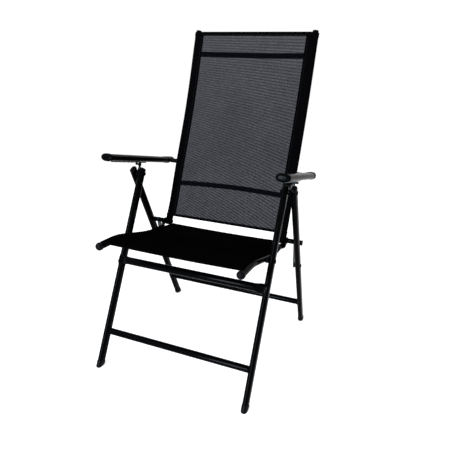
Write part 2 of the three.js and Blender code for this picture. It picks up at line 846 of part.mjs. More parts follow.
// Back sling: a sheet on the front of the tubes with a sleeve round each of them.
// The outline's second axis points to the front.
function backSlingOutline() {
  const inner = backTubeR + clothGap;
  const meet = Math.asin((sleeveR - slingThick) / sleeveR);
  const front = Math.PI / 2;
  const shape = new THREE.Shape();
  shape.absarc(seatTubeX, 0, sleeveR, front, Math.PI - meet, true);
  shape.absarc(-seatTubeX, 0, sleeveR, meet, front, true);
  for (const x of [-seatTubeX, seatTubeX]) {
    shape.holes.push(new THREE.Path().absarc(x, 0, inner, 0, Math.PI * 2));
  }
  return shape;
}

// The sleeves have a cut-out where each cross bar leaves its tube, and holes for the armrest bolts
function makeBackSling() {
  const sheet = loft(backSlingOutline(), slingDistances.map((distance) => backStation(distance)));
  const bars = [[lowBarR, lowBar], [highBarR, highBar]].map(([radius, place]) => {
    const path = bowedPath(seatTubeX, place.at, barsRearward);
    return tubeAlong(circle(radius + clothGap), path, barSteps, barSegments);
  });
  const reach = seatTubeX + 2 * backTubeR;
  const boltHole = barX(boltR + clothGap, -reach, reach, armPivot.toArray());
  return joinAndCut([sheet], [...bars, boltHole]);
}

add('back_sling', makeBackSling(), 'cloth');

// Armrests are made along z with z = 0 at their pivot and +y down, then laid on their slope
const armX = rearLegX;
const armHalfTall = armTall / 2;
const armInnerX = armX - armWide / 2 - clearance - armRearWall;

function onArm(geometry) {
  return geometry.rotateX(-Math.PI / 2 - armSlope).translate(armX, armPivot.x, armPivot.y);
}

function armBoltHole() {
  return barX(boltR + clearance, -armWide, 0);
}

function makeArmrest() {
  const section = hollowOval(armTall, armWide, armWall);
  const tube = prism(section, armPlugRise - armAhead, armBehind - armRearWall - clearance);
  return joinAndCut([tube.rotateZ(Math.PI / 2)], [armBoltHole()]);
}

addPair('armrest', onArm(makeArmrest()), 'moulding');

function makeArmRearCap() {
  const room = 2 * clearance;
  const grow = room + 2 * armRearWall;
  const from = armBehind - armRearLong;
  const shell = prism(oval(armTall + grow, armWide + grow), from, armBehind).rotateZ(Math.PI / 2);
  const socket = prism(oval(armTall + room, armWide + room), from - cutOverrun, armBehind - armRearWall);
  return joinAndCut([shell], [socket.rotateZ(Math.PI / 2), armBoltHole()]);
}

addPair('armrest_rear_cap', onArm(makeArmRearCap()), 'moulding');

function makeArmPlug() {
  const bevel = armPlugRise - 2 * clearance;
  const face = new THREE.ExtrudeGeometry(oval(armTall - 2 * bevel, armWide - 2 * bevel), {
    depth: 2 * clearance,
    bevelThickness: bevel,
    bevelSize: bevel,
    bevelSegments: capSteps,
    curveSegments: ovalSegments,
  });
  const seat = armPlugRise - armAhead - clearance;
  face.translate(0, 0, seat - clearance);
  const behind = prism(oval(2 * armTall, 2 * armWide), seat, seat + 2 * armPlugRise);
  const inset = 2 * (armWall + clearance);
  const plug = prism(oval(armTall - inset, armWide - inset), seat - clearance, seat + armPlugLong);
  const dome = joinAndCut([face], [behind]);
  return joinAndCut([dome, plug]).rotateZ(Math.PI / 2);
}

addPair('armrest_plug', onArm(makeArmPlug()), 'plastic');

// Toothed rail under the armrest; the pin runs just below its tooth tips
function makeArmRail() {
  const top = armHalfTall + clearance;
  const rail = new THREE.BoxGeometry(railThick, railTall, railLong);
  rail.translate(0, top + railTall / 2, -railFrom - railLong / 2);
  const notches = [];
  for (let i = 0; i < notchCount; i += 1) {
    const at = [top + railTall + notchR - notchDepth, -pinFrom - i * notchPitch];
    notches.push(barX(notchR, -railThick, railThick, at));
  }
  return joinAndCut([rail], notches);
}

addPair('armrest_rail', onArm(makeArmRail()), 'zinc');

const spacerFrom = seatTubeX + sleeveR + clearance;
const armSpacer = bushing(spacerR, spacerFrom, armInnerX - clearance, armPivot.toArray());
addPair('armrest_spacer', armSpacer, 'plastic');

const armNutX = seatTubeX - sleeveR - clearance;
const armHeadX = armX - armWide / 2 + armHalfTall - headThick;
addPair('armrest_bolt', turnedX([
  [0, armNutX - nutThick],
  [nutTopR, armNutX - nutThick],
  [nutR, armNutX - nutThick / 2],
  [nutR, armNutX],
  [boltR, armNutX],
  [boltR, armHeadX],
  [headR, armHeadX],
  [headR, armHeadX + headThick],
  [0, armHeadX + headThick],
], armPivot.toArray()), 'zinc');

// Ratchet link: a flat arm from the leg bolt that steps outward and carries the pin under the rail
const pinDrop = armHalfTall + clearance + railTall + pinGap + pinR;
const armRearward = new THREE.Vector2(Math.cos(armSlope), -Math.sin(armSlope));
const armDown = new THREE.Vector2(-Math.sin(armSlope), -Math.cos(armSlope));
const pinAt = armPivot.clone().addScaledVector(armRearward, -pinFrom).addScaledVector(armDown, pinDrop);

function makeTopLink() {
  const run = pinAt.clone().sub(crossing);
  const reach = run.length();
  const along = run.clone().normalize();
  const across = new THREE.Vector2(-along.y, along.x);
  const topX = linkX + topLinkStep;
  const places = [[0, linkX], [stepFrom, linkX], [reach - stepRoom, topX], [reach, topX]];
  const stations = places.map(([distance, x]) => (u, v) => {
    const at = crossing.clone().addScaledVector(along, distance).addScaledVector(across, u);
    return [x + v, at.x, at.y];
  });
  const half = linkThick / 2;
  const section = new THREE.Shape([
    new THREE.Vector2(-topLinkHalfWide, -half),
    new THREE.Vector2(topLinkHalfWide, -half),
    new THREE.Vector2(topLinkHalfWide, half),
    new THREE.Vector2(-topLinkHalfWide, half),
  ]);
  const arm = loft(section, stations);
  const boss = barX(linkBossR, legOuterX + clearance, rearLegInnerX - clearance, crossing.toArray());
  const eye = barX(topLinkHalfWide, topX - half, topX + half, pinAt.toArray());
  const pin = barX(pinR, topX, topX + pinLong, pinAt.toArray());
  const boreReach = cutOverrun + legGap;
  const bore = barX(boltR + clearance, linkX - boreReach, linkX + boreReach, crossing.toArray());
  return joinAndCut([arm, boss, eye, pin], [bore]);
}

addPair('ratchet_link', makeTopLink(), 'zinc');

// The origin moves under the middle of the whole chair
for (const mesh of chair.children) {
  mesh.geometry.translate(0, -middleBehindFeet, 0);
}

export default chair;
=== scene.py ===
"""A folding sling patio chair: finished tubes, cloth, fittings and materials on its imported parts.

Metres. +X is to the right seen from the front, +Y runs to the rear, +Z is up.
"""

import math

import bmesh
import bpy
from mathutils import Matrix, Vector


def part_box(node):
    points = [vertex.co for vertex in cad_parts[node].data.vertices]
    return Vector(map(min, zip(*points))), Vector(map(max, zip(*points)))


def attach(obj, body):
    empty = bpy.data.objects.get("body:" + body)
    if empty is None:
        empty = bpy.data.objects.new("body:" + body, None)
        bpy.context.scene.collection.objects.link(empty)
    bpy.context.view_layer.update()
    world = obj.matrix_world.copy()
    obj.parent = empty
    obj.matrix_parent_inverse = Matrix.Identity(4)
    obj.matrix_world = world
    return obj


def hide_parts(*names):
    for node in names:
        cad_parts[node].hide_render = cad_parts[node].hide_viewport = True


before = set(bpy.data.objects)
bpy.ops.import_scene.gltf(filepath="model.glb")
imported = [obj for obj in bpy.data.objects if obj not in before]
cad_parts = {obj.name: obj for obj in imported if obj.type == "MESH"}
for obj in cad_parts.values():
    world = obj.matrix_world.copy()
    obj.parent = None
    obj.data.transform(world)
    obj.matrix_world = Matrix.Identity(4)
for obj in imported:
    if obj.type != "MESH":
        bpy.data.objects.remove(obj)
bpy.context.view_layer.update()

CLEARANCE = 0.0003

# Legs, feet and leg caps
FOOT_HALF_SPREAD = 0.298
MIDDLE_BEHIND_FEET = 0.01503
LEG_WIDE = 0.018
LEG_DEEP = 0.0285
FRONT_LEG_X = 0.250
REAR_LEG_X = 0.278
LEG_BEYOND_BOLT = 0.012
LINK_X = (FRONT_LEG_X + REAR_LEG_X) / 2
LEG_INNER_X = FRONT_LEG_X - LEG_WIDE / 2
LEG_OUTER_X = FRONT_LEG_X + LEG_WIDE / 2
REAR_INNER_X = REAR_LEG_X - LEG_WIDE / 2
REAR_OUTER_X = REAR_LEG_X + LEG_WIDE / 2
FOOT_SOLE = 0.003
FOOT_SKIRT = 0.009
FOOT_WALL = 0.0010
SOLE_ROUND = 0.0050
RIM_ROUND = 0.0007
CAP_ROUND = 0.006
CAP_RISE = 0.007
CAP_LIP = 0.0004
CAP_TUCK_SHARE = 0.97

# Bolts, nuts, rivets and screws
BOLT_R = 0.004
HEAD_R = 0.007
SEAT_HEAD_R = 0.006
HEAD_THICK = 0.0024
NUT_R = 0.0075
NUT_TOP_R = 0.0055
NUT_THICK = 0.005
EDGE_ROUND = 0.0006
RING_BEVEL = 0.0004
SCREW_R = 0.003
SCREW_HEAD_R = 0.0055
SCREW_TOP_SHARE = 0.8
SCREW_RISE = 0.0022
CROSS_LONG = 0.0052
CROSS_WIDE = 0.0013
CROSS_DEEP = 0.0011
CROSS_PROUD = 0.00005

# Stretchers
STRETCHER_R = 0.0105
HIGH_STRETCHER_R = 0.0122
LOW_STRETCHER_Z = 0.106
REAR_STRETCHER_Z = 0.104
HIGH_STRETCHER_Z = 0.322
TUBE_INTO_LEG = 0.003
WELD_R = 0.0016
WELD_LUMPS = 0.16
WELD_DRIFT = 0.08
TAB_THICK = 0.005
TAB_TALL = 0.031
TAB_PRESS_LONG = 0.026
TAB_SCREW_DROP = 0.006
TAB_SHORT = 0.005
PLATE_BEVEL = 0.0006

# Seat frame
SEAT_TUBE_R = 0.0105
SEAT_TUBE_X = 0.2205
SEAT_BUSH_R = 0.008
BUSH_INTO_TUBE = 0.001
SEAT_AHEAD = 0.187
SEAT_FRONT_RISE = 0.0245
SEAT_DIP = 0.0163
SEAT_FRONT_SHARES = [(1, 1), (0.552, 0.9), (0.253, 0.45)]
SEAT_REAR_SHARES = [
    (0.092, 0.24), (0.26, 0.64), (0.4475, 0.945), (0.66, 1), (0.82, 0.9), (0.93, 0.5), (1, 0),
]
DOME_LONG = 0.0145
DOME_R = 0.0122
DOME_STRAIGHT = 0.0045
DOME_EDGE = 0.0008
PRESSED_THICK = 0.005
PRESSED_R = 0.0115
PRESS_START = 0.046
PRESS_END = 0.020
PRESS_GAP = 0.001
BAR_INTO_TUBE = 0.006
SPREADER_R = 0.008
FRONT_SPREADER_AHEAD = 0.075
REAR_SPREADER_SHARE = 0.615
FRONT_SPREADER_BOW = 0.012
REAR_SPREADER_BOW = 0.024

# Rods and flat links
ROD_R = 0.0085
ROD_DISC_R = 0.0095
ROD_DISC_THICK = 0.0028
ROD_DISC_GAP = 0.0012
LINK_THICK = 0.004
LINK_HALF_WIDE = 0.0097
LINK_BOSS_R = 0.008
PIN_FROM = 0.199
PIN_R = 0.0035
PIN_GAP = 0.0006
PIN_LONG = 0.016
PIN_LIP = 0.0008
TOP_LINK_HALF_WIDE = 0.0064
TOP_LINK_STEP = 0.004
STEP_FROM = 0.020
STEP_ROOM = 0.006

# Back frame
BACK_TUBE_R = 0.010
BACK_TUBE_END_ROUND = 0.0008
BACK_LEAN = 0.226
BACK_RISE = 0.685
BACK_BELOW = 0.013
BACK_SHARES = [
    (0, 0), (0.062, 0.048), (0.124, 0.096), (0.184, 0.152), (0.258, 0.224), (0.341, 0.304),
    (0.505, 0.45), (0.66, 0.595), (0.793, 0.741), (0.909, 0.886), (1, 1),
]
BAR_BOW = 0.034
LOW_BAR_SHARE = 0.6435
HIGH_BAR_SHARE = 0.8847
LOW_BAR_R = 0.0091
HIGH_BAR_R = 0.0096
BACK_CAP_RISE = 0.0035
BACK_CAP_LIP = 0.0003
BACK_CAP_ROUND = 0.0028

# Slings
SLEEVE_R = 0.0127
CLOTH_THICK = 0.0012
CLOTH_R = SLEEVE_R - CLOTH_THICK / 2
SLEEVE_TURN = math.radians(305)
FLAP_BEHIND = 0.0013
FLAP_WIDE = 0.012
BAR_ROOM = 0.0012
OPENING_SPARE = 0.0005
OPENING_INTO_SHARE = 0.55
FINE_REACH = 0.016
FINE_STEP = 0.002
BACK_SLING_FROM = 0.033
BACK_SLING_TOP_GAP = 0.004
BACK_HEM_TURN = math.radians(255)
BACK_HEM_WIDE = 0.010
TOP_HEM_WIDE = 0.0145
HEM_THICK = 0.0024
SLEEVE_FOOT_STATIONS = ((0.0045, 0.93), (0.0055, 1), (0.014, 1), (0.024, 1))
SLEEVE_FOOT_OVERLAP = 0.001
SEAT_SLING_FROM = 0.0045
SEAT_SLING_WRAP = math.radians(16)
SEAT_SLING_SAG = 0.003
SEAT_EDGE_BEHIND = 0.006
SEAT_EDGE_DROP = 0.0095
SEAT_EDGE_GAP = 0.0005
SEAT_SIDE_GAP = 0.0008
SEAT_HEM_WIDE = 0.012
FRONT_HEM_THICK = 0.0048
SWING_ROOM_R = 0.056
STITCH_LONG = 0.0032
STITCH_PITCH = 0.0044
STITCH_R = 0.00042
STITCH_PROUD = 0.0001
SEAM_END_ROOM = 0.004
SEAM_INSET = 0.006
SLEEVE_SEAM_SHARE = 0.6
LOW_SEAM_SHARE = 0.62
HEM_SEAM_SHARE = 0.7

# Armrests
ARM_WIDE = 0.040
ARM_TALL = 0.022
ARM_FULLNESS = 2.35
ARM_AHEAD = 0.374
ARM_BEHIND = 0.044
ARM_SLOPE = math.radians(8.62)
ARM_EDGE = 0.0006
ARM_INTO_SLEEVE = 0.004
PLUG_RISE = 0.006
PLUG_LIP = 0.0013
PLUG_LIP_LONG = 0.0022
PLUG_EDGE = 0.0004
PLUG_TUCK = 0.0005
PLUG_PROUD = 0.003
PLUG_TIP_SHARE = 0.10
PLUG_FULLNESS = 0.9
ARM_REAR_LONG = 0.054
ARM_REAR_WALL = 0.0015
ARM_REAR_RIM = 0.0012
ARM_REAR_END_LONG = 0.014
ARM_REAR_NARROW_SHARE = 0.70
ARM_REAR_LIFT = 0.003
TONGUE_WIDE_SHARE = 0.42
TONGUE_TALL_SHARE = 0.30
TONGUE_FULLNESS = 0.6
SPACER_R = 0.008
RAIL_FROM = 0.146
RAIL_LONG = 0.202
RAIL_THICK = 0.003
RAIL_TALL = 0.003
NOTCH_R = 0.0036
NOTCH_DEPTH = 0.002
NOTCH_PITCH = 0.0226
NOTCH_COUNT = 7


# Places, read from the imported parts: side-view points are (y, z)
def side_centre(node):
    low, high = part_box(node)
    return Vector(((low.y + high.y) / 2, (low.z + high.z) / 2))


crossing = side_centre("leg_bolt_right")
seat_pivot = side_centre("seat_bolt_right")
link_pivot = side_centre("link_rivet_right")
rod = side_centre("back_bolt_right")
arm_pivot = side_centre("armrest_bolt_right")


# Curves and stations
def mix(a, b, share):
    return a + (b - a) * share


def eased(t):
    """Runs smoothly from 0 to 1, and stays there."""
    t = min(max(t, 0), 1)
    return t * t * (3 - 2 * t)


def spaced(start, end, count):
    return [mix(start, end, i / count) for i in range(count + 1)]


def in_chair(x, point):
    """A side-view point as a place in the chair."""
    return Vector((x, point.x, point.y))


def station(x, point, up, wide=1.0, tall=1.0):
    """Places an outline point: u across the chair from x, v along a side-view direction."""
    return lambda u, v: in_chair(x + u * wide, point + up * (v * tall))


def tube_station(x, point, out=Vector((1, 0)), up=Vector((0, 1))):
    """Places an outline point round a tube that runs along x."""
    return lambda u, v: in_chair(x, point + out * u + up * v)


class LegLine:
    """The side-view line of a leg, from its foot point to the crossing."""

    def __init__(self, foot_y):
        self.foot = Vector((foot_y, 0))
        run = crossing - self.foot
        self.length = run.length
        self.direction = run.normalized()
        self.across = Vector((self.direction.y, -self.direction.x))
        self.start = (FOOT_SOLE + abs(self.direction.x) * LEG_DEEP / 2) / self.direction.y

    def at(self, along, off=0.0):
        return self.foot + self.direction * along + self.across * off

    def along(self, height):
        return height / self.direction.y

    def station(self, x, along, share=1.0):
        """Places an outline point across the leg; a share under 1 draws the outline in."""

        def place(u, v):
            flat = math.copysign((LEG_DEEP - LEG_WIDE) / 2, v)
            return in_chair(x + u * share, self.at(along, flat + (v - flat) * share))

        return place


front_line = LegLine(-FOOT_HALF_SPREAD - MIDDLE_BEHIND_FEET)
rear_line = LegLine(FOOT_HALF_SPREAD - MIDDLE_BEHIND_FEET)


class SideCurve:
    """A smooth centripetal curve through side-view points, measured along its length."""

    FINENESS = 60

    def __init__(self, points):
        self.points = [Vector(p) for p in points]
        self.samples = []
        for i in range(len(self.points) - 1):
            for k in range(self.FINENESS):
                self.samples.append(self.between(i, k / self.FINENESS))
        self.samples.append(self.points[-1].copy())
        self.marks = [0.0]
        for a, b in zip(self.samples, self.samples[1:]):
            self.marks.append(self.marks[-1] + (b - a).length)
        self.length = self.marks[-1]

    def between(self, i, t):
        points = self.points
        b, c = points[i], points[i + 1]
        a = points[i - 1] if i else b * 2 - c
        d = points[i + 2] if i + 2 < len(points) else c * 2 - b
        before, here, after = [math.sqrt((q - p).length) for p, q in ((a, b), (b, c), (c, d))]
        leave = (b - a) / before - (c - a) / (before + here) + (c - b) / here
        reach = (c - b) / here - (d - b) / (here + after) + (d - c) / after
        leave, reach = leave * here, reach * here
        square = (c * 3 - b * 3 - leave * 2 - reach) * t ** 2
        return b + leave * t + square + (b * 2 - c * 2 + leave + reach) * t ** 3

    def frame(self, distance):
        """The point at a distance, the curve's direction, and the one square to it: up, or ahead."""
        inside = min(max(distance, 0.0), self.length)
        k = max(i for i, mark in enumerate(self.marks[:-1]) if mark <= inside)
        span = self.samples[k + 1] - self.samples[k]
        ahead = min(k + 2, len(self.samples) - 1)
        behind = max(k - 1, 0)
        direction = (self.samples[ahead] - self.samples[behind]).normalized()
        point = self.samples[k] + span.normalized() * (inside - self.marks[k])
        return point + direction * (distance - inside), direction, Vector((-direction.y, direction.x))

    def at_height(self, height):
        """The distance at which a rising curve passes a height."""
        k = next(i for i, p in enumerate(self.samples) if p.y >= height)
        low, high = self.samples[k - 1].y, self.samples[k].y
        return mix(self.marks[k - 1], self.marks[k], (height - low) / (high - low))


seat_run = rod - seat_pivot
seat_points = [
    seat_pivot + Vector((-run * SEAT_AHEAD, rise * SEAT_FRONT_RISE)) for run, rise in SEAT_FRONT_SHARES
]
seat_points += [seat_pivot] + [
    seat_pivot + seat_run * run - Vector((0, dip * SEAT_DIP)) for run, dip in SEAT_REAR_SHARES
]
seat_curve = SideCurve(seat_points)
back_points = [rod + Vector((lean * BACK_LEAN, rise * BACK_RISE)) for lean, rise in BACK_SHARES]
back_low_direction = (back_points[1] - rod).normalized()
back_curve = SideCurve([rod - back_low_direction * BACK_BELOW] + back_points)


# Outlines, as lists of (u, v)
def arc(u, v, radius, start, end, steps):
    """Points on an arc round (u, v) from one angle to another, both ends included."""
    turns = spaced(start, end, steps)
    return [(u + radius * math.cos(turn), v + radius * math.sin(turn)) for turn in turns]


def round_outline(radius, sides=32):
    return arc(0, 0, radius, 0, 2 * math.pi, sides)[:-1]


def oval_outline(wide, deep, steps=14):
    """A flat oval: wide across u, deep along v, its ends half round."""
    radius = wide / 2
    flat = deep / 2 - radius
    far_end = arc(0, flat, radius, 0, math.pi, steps)
    return far_end + arc(0, -flat, radius, math.pi, 2 * math.pi, steps)


def rounded(profile, radius, steps=3):
    """The profile with each inner corner, where there is room, replaced by a small round."""
    points = [Vector(p) for p in profile]
    made = [points[0]]
    for before, corner, after in zip(points, points[1:], points[2:]):
        back, on = before - corner, after - corner
        cut = min(radius, 0.45 * back.length, 0.45 * on.length)
        start, end = corner + back.normalized() * cut, corner + on.normalized() * cut
        for t in spaced(0, 1, steps):
            made.append(start * (1 - t) ** 2 + corner * (2 * t * (1 - t)) + end * t ** 2)
    return [tuple(p) for p in made + [points[-1]]]


# Mesh makers
def sweep(outline, stations, closed=True):
    """Extrudes an outline from station to station, with the step and place kept on each vertex."""
    bm = bmesh.new()
    place = bm.verts.layers.int.new("place")
    step = bm.verts.layers.int.new("step")
    ring = []
    for i, (u, v) in enumerate(outline):
        vertex = bm.verts.new(stations[0](u, v))
        vertex[place] = i
        ring.append(vertex)
    edges = [bm.edges.new(pair) for pair in zip(ring, ring[1:])]
    if closed:
        edges.append(bm.edges.new((ring[-1], ring[0])))
        bm.faces.new(ring)
    for k, place_at in enumerate(stations[1:], 1):
        made = bmesh.ops.extrude_edge_only(bm, edges=edges)["geom"]
        fresh = {v for v in made if isinstance(v, bmesh.types.BMVert)}
        for vertex in fresh:
            vertex.co = place_at(*outline[vertex[place]])
            vertex[step] = k
        edges = [e for e in made if isinstance(e, bmesh.types.BMEdge) and set(e.verts) <= fresh]
    if closed:
        bmesh.ops.contextual_create(bm, geom=edges)
    unroll(bm, outline, stations, place, step, closed)
    return bm


def unroll(bm, outline, stations, place, step, closed):
    """Lays a UV map over a sweep in metres: round the outline across, and along the stations up."""
    around = [0.0]
    for a, b in zip(outline, outline[1:] + outline[:1]):
        around.append(around[-1] + math.dist(a, b))
    middle = outline[len(outline) // 2]
    along = [0.0]
    for a, b in zip(stations, stations[1:]):
        along.append(along[-1] + (b(*middle) - a(*middle)).length)
    uv = bm.loops.layers.uv.new("Cloth")
    last = len(outline) - 1
    for face in bm.faces:
        wraps = closed and {0, last} <= {loop.vert[place] for loop in face.loops}
        for loop in face.loops:
            index = loop.vert[place]
            turn = last + 1 if wraps and index == 0 else index
            loop[uv].uv = (around[turn], along[loop.vert[step]])


def spun(profile, sides=32, closed=False):
    """Spins a profile of (radius, along) round the z axis; a closed one makes a ring."""
    bm = bmesh.new()
    chain = [bm.verts.new((radius, 0, along)) for radius, along in profile]
    following = chain[1:] + chain[:1] if closed else chain[1:]
    edges = [bm.edges.new(pair) for pair in zip(chain, following)]
    bmesh.ops.spin(
        bm, geom=chain + edges, cent=(0, 0, 0), axis=(0, 0, 1), dvec=(0, 0, 0),
        angle=2 * math.pi, steps=sides, use_merge=True,
    )
    bmesh.ops.remove_doubles(bm, verts=bm.verts, dist=1e-6)
    bmesh.ops.recalc_face_normals(bm, faces=bm.faces)
    return bm


def placed(bm, x, at, turn):
    bmesh.ops.transform(bm, verts=bm.verts, matrix=Matrix.Translation(in_chair(x, at)) @ turn)
    return bm


def along_x(bm, at, x=0.0):
    """Turns a piece made on z onto an axis along x through a side-view point."""
    return placed(bm, x, at, Matrix.Rotation(math.radians(90), 4, "Y"))


def facing(bm, x, at, direction):
    """Turns a piece made on z to a side-view direction, and stands it at a place."""
    return placed(bm, x, at, in_chair(0, direction).to_track_quat("Z", "X").to_matrix().to_4x4())


def turned_across(profile, at, sides=32):
    """A turned piece with rounded edges, on an axis along x."""
    return along_x(spun(rounded(profile, EDGE_ROUND), sides), at)


def disc(radius, start, end, at, sides=36):
    """A disc or boss on an axis along x."""
    return turned_across([(0, start), (radius, start), (radius, end), (0, end)], at, sides)


def tube_ring(radius, start, end, at):
    """A short round sleeve with an open bore, on a bolt along x."""
    bore = BOLT_R + CLEARANCE
    profile = [(bore, start), (radius, start), (radius, end), (bore, end)]
    return along_x(spun(profile, closed=True), at)


def bar_outline(a, b, radius):
    """A flat bar with round ends, as side-view points."""
    run = (b - a).normalized()
    square = Vector((-run.y, run.x))
    points = []
    for centre, start in ((b, -math.pi / 2), (a, math.pi / 2)):
        for ahead, aside in arc(0, 0, radius, start, start + math.pi, 14):
            points.append(centre + run * ahead + square * aside)
    return points


def plate(outline, middle_x, thick):
    """A flat plate from a side-view outline."""
    bm = bmesh.new()
    face = bm.faces.new([bm.verts.new(in_chair(middle_x - thick / 2, p)) for p in outline])
    made = bmesh.ops.extrude_face_region(bm, geom=[face])["geom"]
    fresh = [v for v in made if isinstance(v, bmesh.types.BMVert)]
    bmesh.ops.translate(bm, verts=fresh, vec=(thick, 0, 0))
    bmesh.ops.recalc_face_normals(bm, faces=bm.faces)
    return bm


def bowed_bar(radius, at, bow):
    """A bar between two side tubes that bows by a side-view vector, its section upright."""
    end_x = SEAT_TUBE_X - BAR_INTO_TUBE

    def bowed_station(t):
        centre = in_chair(end_x * (2 * t - 1), at + bow * (4 * t * (1 - t)))
        direction = in_chair(1, bow * (4 * (1 - 2 * t) / (2 * end_x))).normalized()
        level = Vector((0, 0, 1)).cross(direction).normalized()
        upright = direction.cross(level)
        return lambda u, v: centre + level * u + upright * v

    return sweep(round_outline(radius, 28), [bowed_station(t) for t in spaced(0, 1, 40)])


def round_edges(bm, edges, radius, steps):
    bmesh.ops.bevel(
        bm, geom=edges, offset=radius, offset_type="OFFSET", segments=steps, profile=0.5,
        affect="EDGES", material=-1, clamp_overlap=True,
    )


def joined(*parts):
    """Several closed shells in one mesh."""
    bm = parts[0]
    for part in parts[1:]:
        mesh = bpy.data.meshes.new("part")
        part.to_mesh(mesh)
        part.free()
        bm.from_mesh(mesh)
        bpy.data.meshes.remove(mesh)
    return bm


# Pieces
SHARP_ANGLE = math.radians(38)


def add_object(name, data):
    made = bpy.data.objects.new(name, data)
    bpy.context.scene.collection.objects.link(made)
    return made


def add_piece(name, bm, finish, body, slot, nodes=(), bevel=0.0, keep_normals=False):
    """Makes the mesh an object that rides on a body, stands for nodes and wears a finish."""
    if not keep_normals:
        bmesh.ops.recalc_face_normals(bm, faces=bm.faces)
    mesh = bpy.data.meshes.new(name)
    bm.to_mesh(mesh)
    bm.free()
    mesh.shade_smooth()
    mesh.set_sharp_from_angle(angle=SHARP_ANGLE)
    for material in finish if isinstance(finish, list) else [finish]:
        mesh.materials.append(material)
    piece = add_object(name, mesh)
    if bevel:
        rounding = piece.modifiers.new("Rounding", "BEVEL")
        rounding.width = bevel
        rounding.segments = 2
        rounding.limit_method = "ANGLE"
        rounding.angle_limit = SHARP_ANGLE
        rounding.use_clamp_overlap = True
    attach(piece, body)
    if nodes:
        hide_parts(*nodes)
    return piece


def add_sides(name, make, finish, body, slot, node=None, **options):
    """The right-hand piece and its mirror image on the left."""
    for side, sign in (("left", -1), ("right", 1)):
        bm = make()
        if sign < 0:
            bmesh.ops.scale(bm, verts=bm.verts, vec=(-1, 1, 1))
            bmesh.ops.reverse_faces(bm, faces=bm.faces)
        nodes = [f"{node}_{side}"] if node else []
        add_piece(f"{name}_{side}", bm, finish, body.format(side=side), slot, nodes, **options)


# Materials
class Nodes:
    """A node tree, and short ways to add nodes to it."""

    def __init__(self, tree):
        self.nodes = tree.nodes
        self.links = tree.links

    def add(self, kind, **values):
        node = self.nodes.new(kind)
        for key, value in values.items():
            setattr(node, key, value)
        return node

    def link(self, source, target):
        self.links.new(source, target)

    def coordinates(self, output="Object", scale=(1, 1, 1)):
        places = self.add("ShaderNodeTexCoord")
        mapping = self.add("ShaderNodeMapping")
        mapping.inputs["Scale"].default_value = scale
        self.link(places.outputs[output], mapping.inputs["Vector"])
        return mapping.outputs["Vector"]

    def noise(self, vector, scale, detail=3.0, roughness=0.55):
        node = self.add("ShaderNodeTexNoise")
        for socket, value in (("Scale", scale), ("Detail", detail), ("Roughness", roughness)):
            node.inputs[socket].default_value = value
        self.link(vector, node.inputs["Vector"])
        return node.outputs["Fac"]

    def cloth_noise(self, across, up, detail=2.0):
        """Noise on the cloth's UV map, with its own fineness each way."""
        return self.noise(self.coordinates("UV", (across, up, 1)), 1.0, detail)

    def math(self, operation, *values, clamp=False):
        node = self.add("ShaderNodeMath", operation=operation, use_clamp=clamp)
        for socket, value in zip(node.inputs, values):
            if isinstance(value, (int, float)):
                socket.default_value = value
            else:
                self.link(value, socket)
        return node.outputs[0]

    def product(self, first, *others):
        for other in others:
            first = self.math("MULTIPLY", first, other)
        return first

    def spread(self, value, low, high, to_low, to_high):
        node = self.add("ShaderNodeMapRange")
        self.link(value, node.inputs["Value"])
        limits = {"From Min": low, "From Max": high, "To Min": to_low, "To Max": to_high}
        for socket, number in limits.items():
            node.inputs[socket].default_value = number
        return node.outputs["Result"]

    def blend(self, factor, first, second):
        node = self.add("ShaderNodeMix", data_type="RGBA")
        self.link(factor, node.inputs["Factor"])
        # The colour sockets of a Mix node carry the same names as its number sockets
        colors = [s for s in node.inputs if s.type == "RGBA"]
        colors[0].default_value = (*first, 1)
        colors[1].default_value = (*second, 1)
        return next(s for s in node.outputs if s.type == "RGBA")

    def seen_directly(self):
        """1 where the camera, a gloss or a clear surface looks, and 0 for the light on things."""
        path = self.add("ShaderNodeLightPath")
        seen = path.outputs["Is Camera Ray"]
        for ray in ("Is Glossy Ray", "Is Transmission Ray"):
            seen = self.math("MAXIMUM", seen, path.outputs[ray])
        return seen


class Finish(Nodes):
    """A material with its Principled shader."""

    def __init__(self, name, color, roughness, **shader_values):
        self.material = bpy.data.materials.new(name)
        self.material.use_nodes = True
        super().__init__(self.material.node_tree)
        self.shader = self.nodes["Principled BSDF"]
        shader_values |= {"Base_Color": (*color, 1), "Roughness": roughness}
        for socket, value in shader_values.items():
            self.shader.inputs[socket.replace("_", " ")].default_value = value

    def feed(self, socket, value):
        self.link(value, self.shader.inputs[socket])

    def bump(self, height, distance, strength=1.0):
        node = self.add("ShaderNodeBump")
        node.inputs["Strength"].default_value = strength
        node.inputs["Distance"].default_value = distance
        self.link(height, node.inputs["Height"])
        self.feed("Normal", node.outputs["Normal"])


def powder_coat():
    """Black powder coat: a fine even orange peel, faint dust and a few paler rubs."""
    black = (0.0006, 0.0007, 0.0009)
    rubbed = (0.003, 0.0034, 0.0045)
    finish = Finish("Powder coat", black, 0.13, Specular_IOR_Level=0.016)
    place = finish.coordinates()
    peel = finish.noise(place, 700, 2.0)
    dust = finish.noise(place, 38, 5.0, 0.7)
    finish.feed("Roughness", finish.spread(dust, 0.35, 0.75, 0.10, 0.18))
    rub = finish.spread(finish.noise(place, 160, 6.0, 0.75), 0.66, 0.80, 0.0, 0.5)
    finish.feed("Base Color", finish.blend(rub, black, rubbed))
    finish.bump(peel, 0.00004, 0.3)
    return finish.material


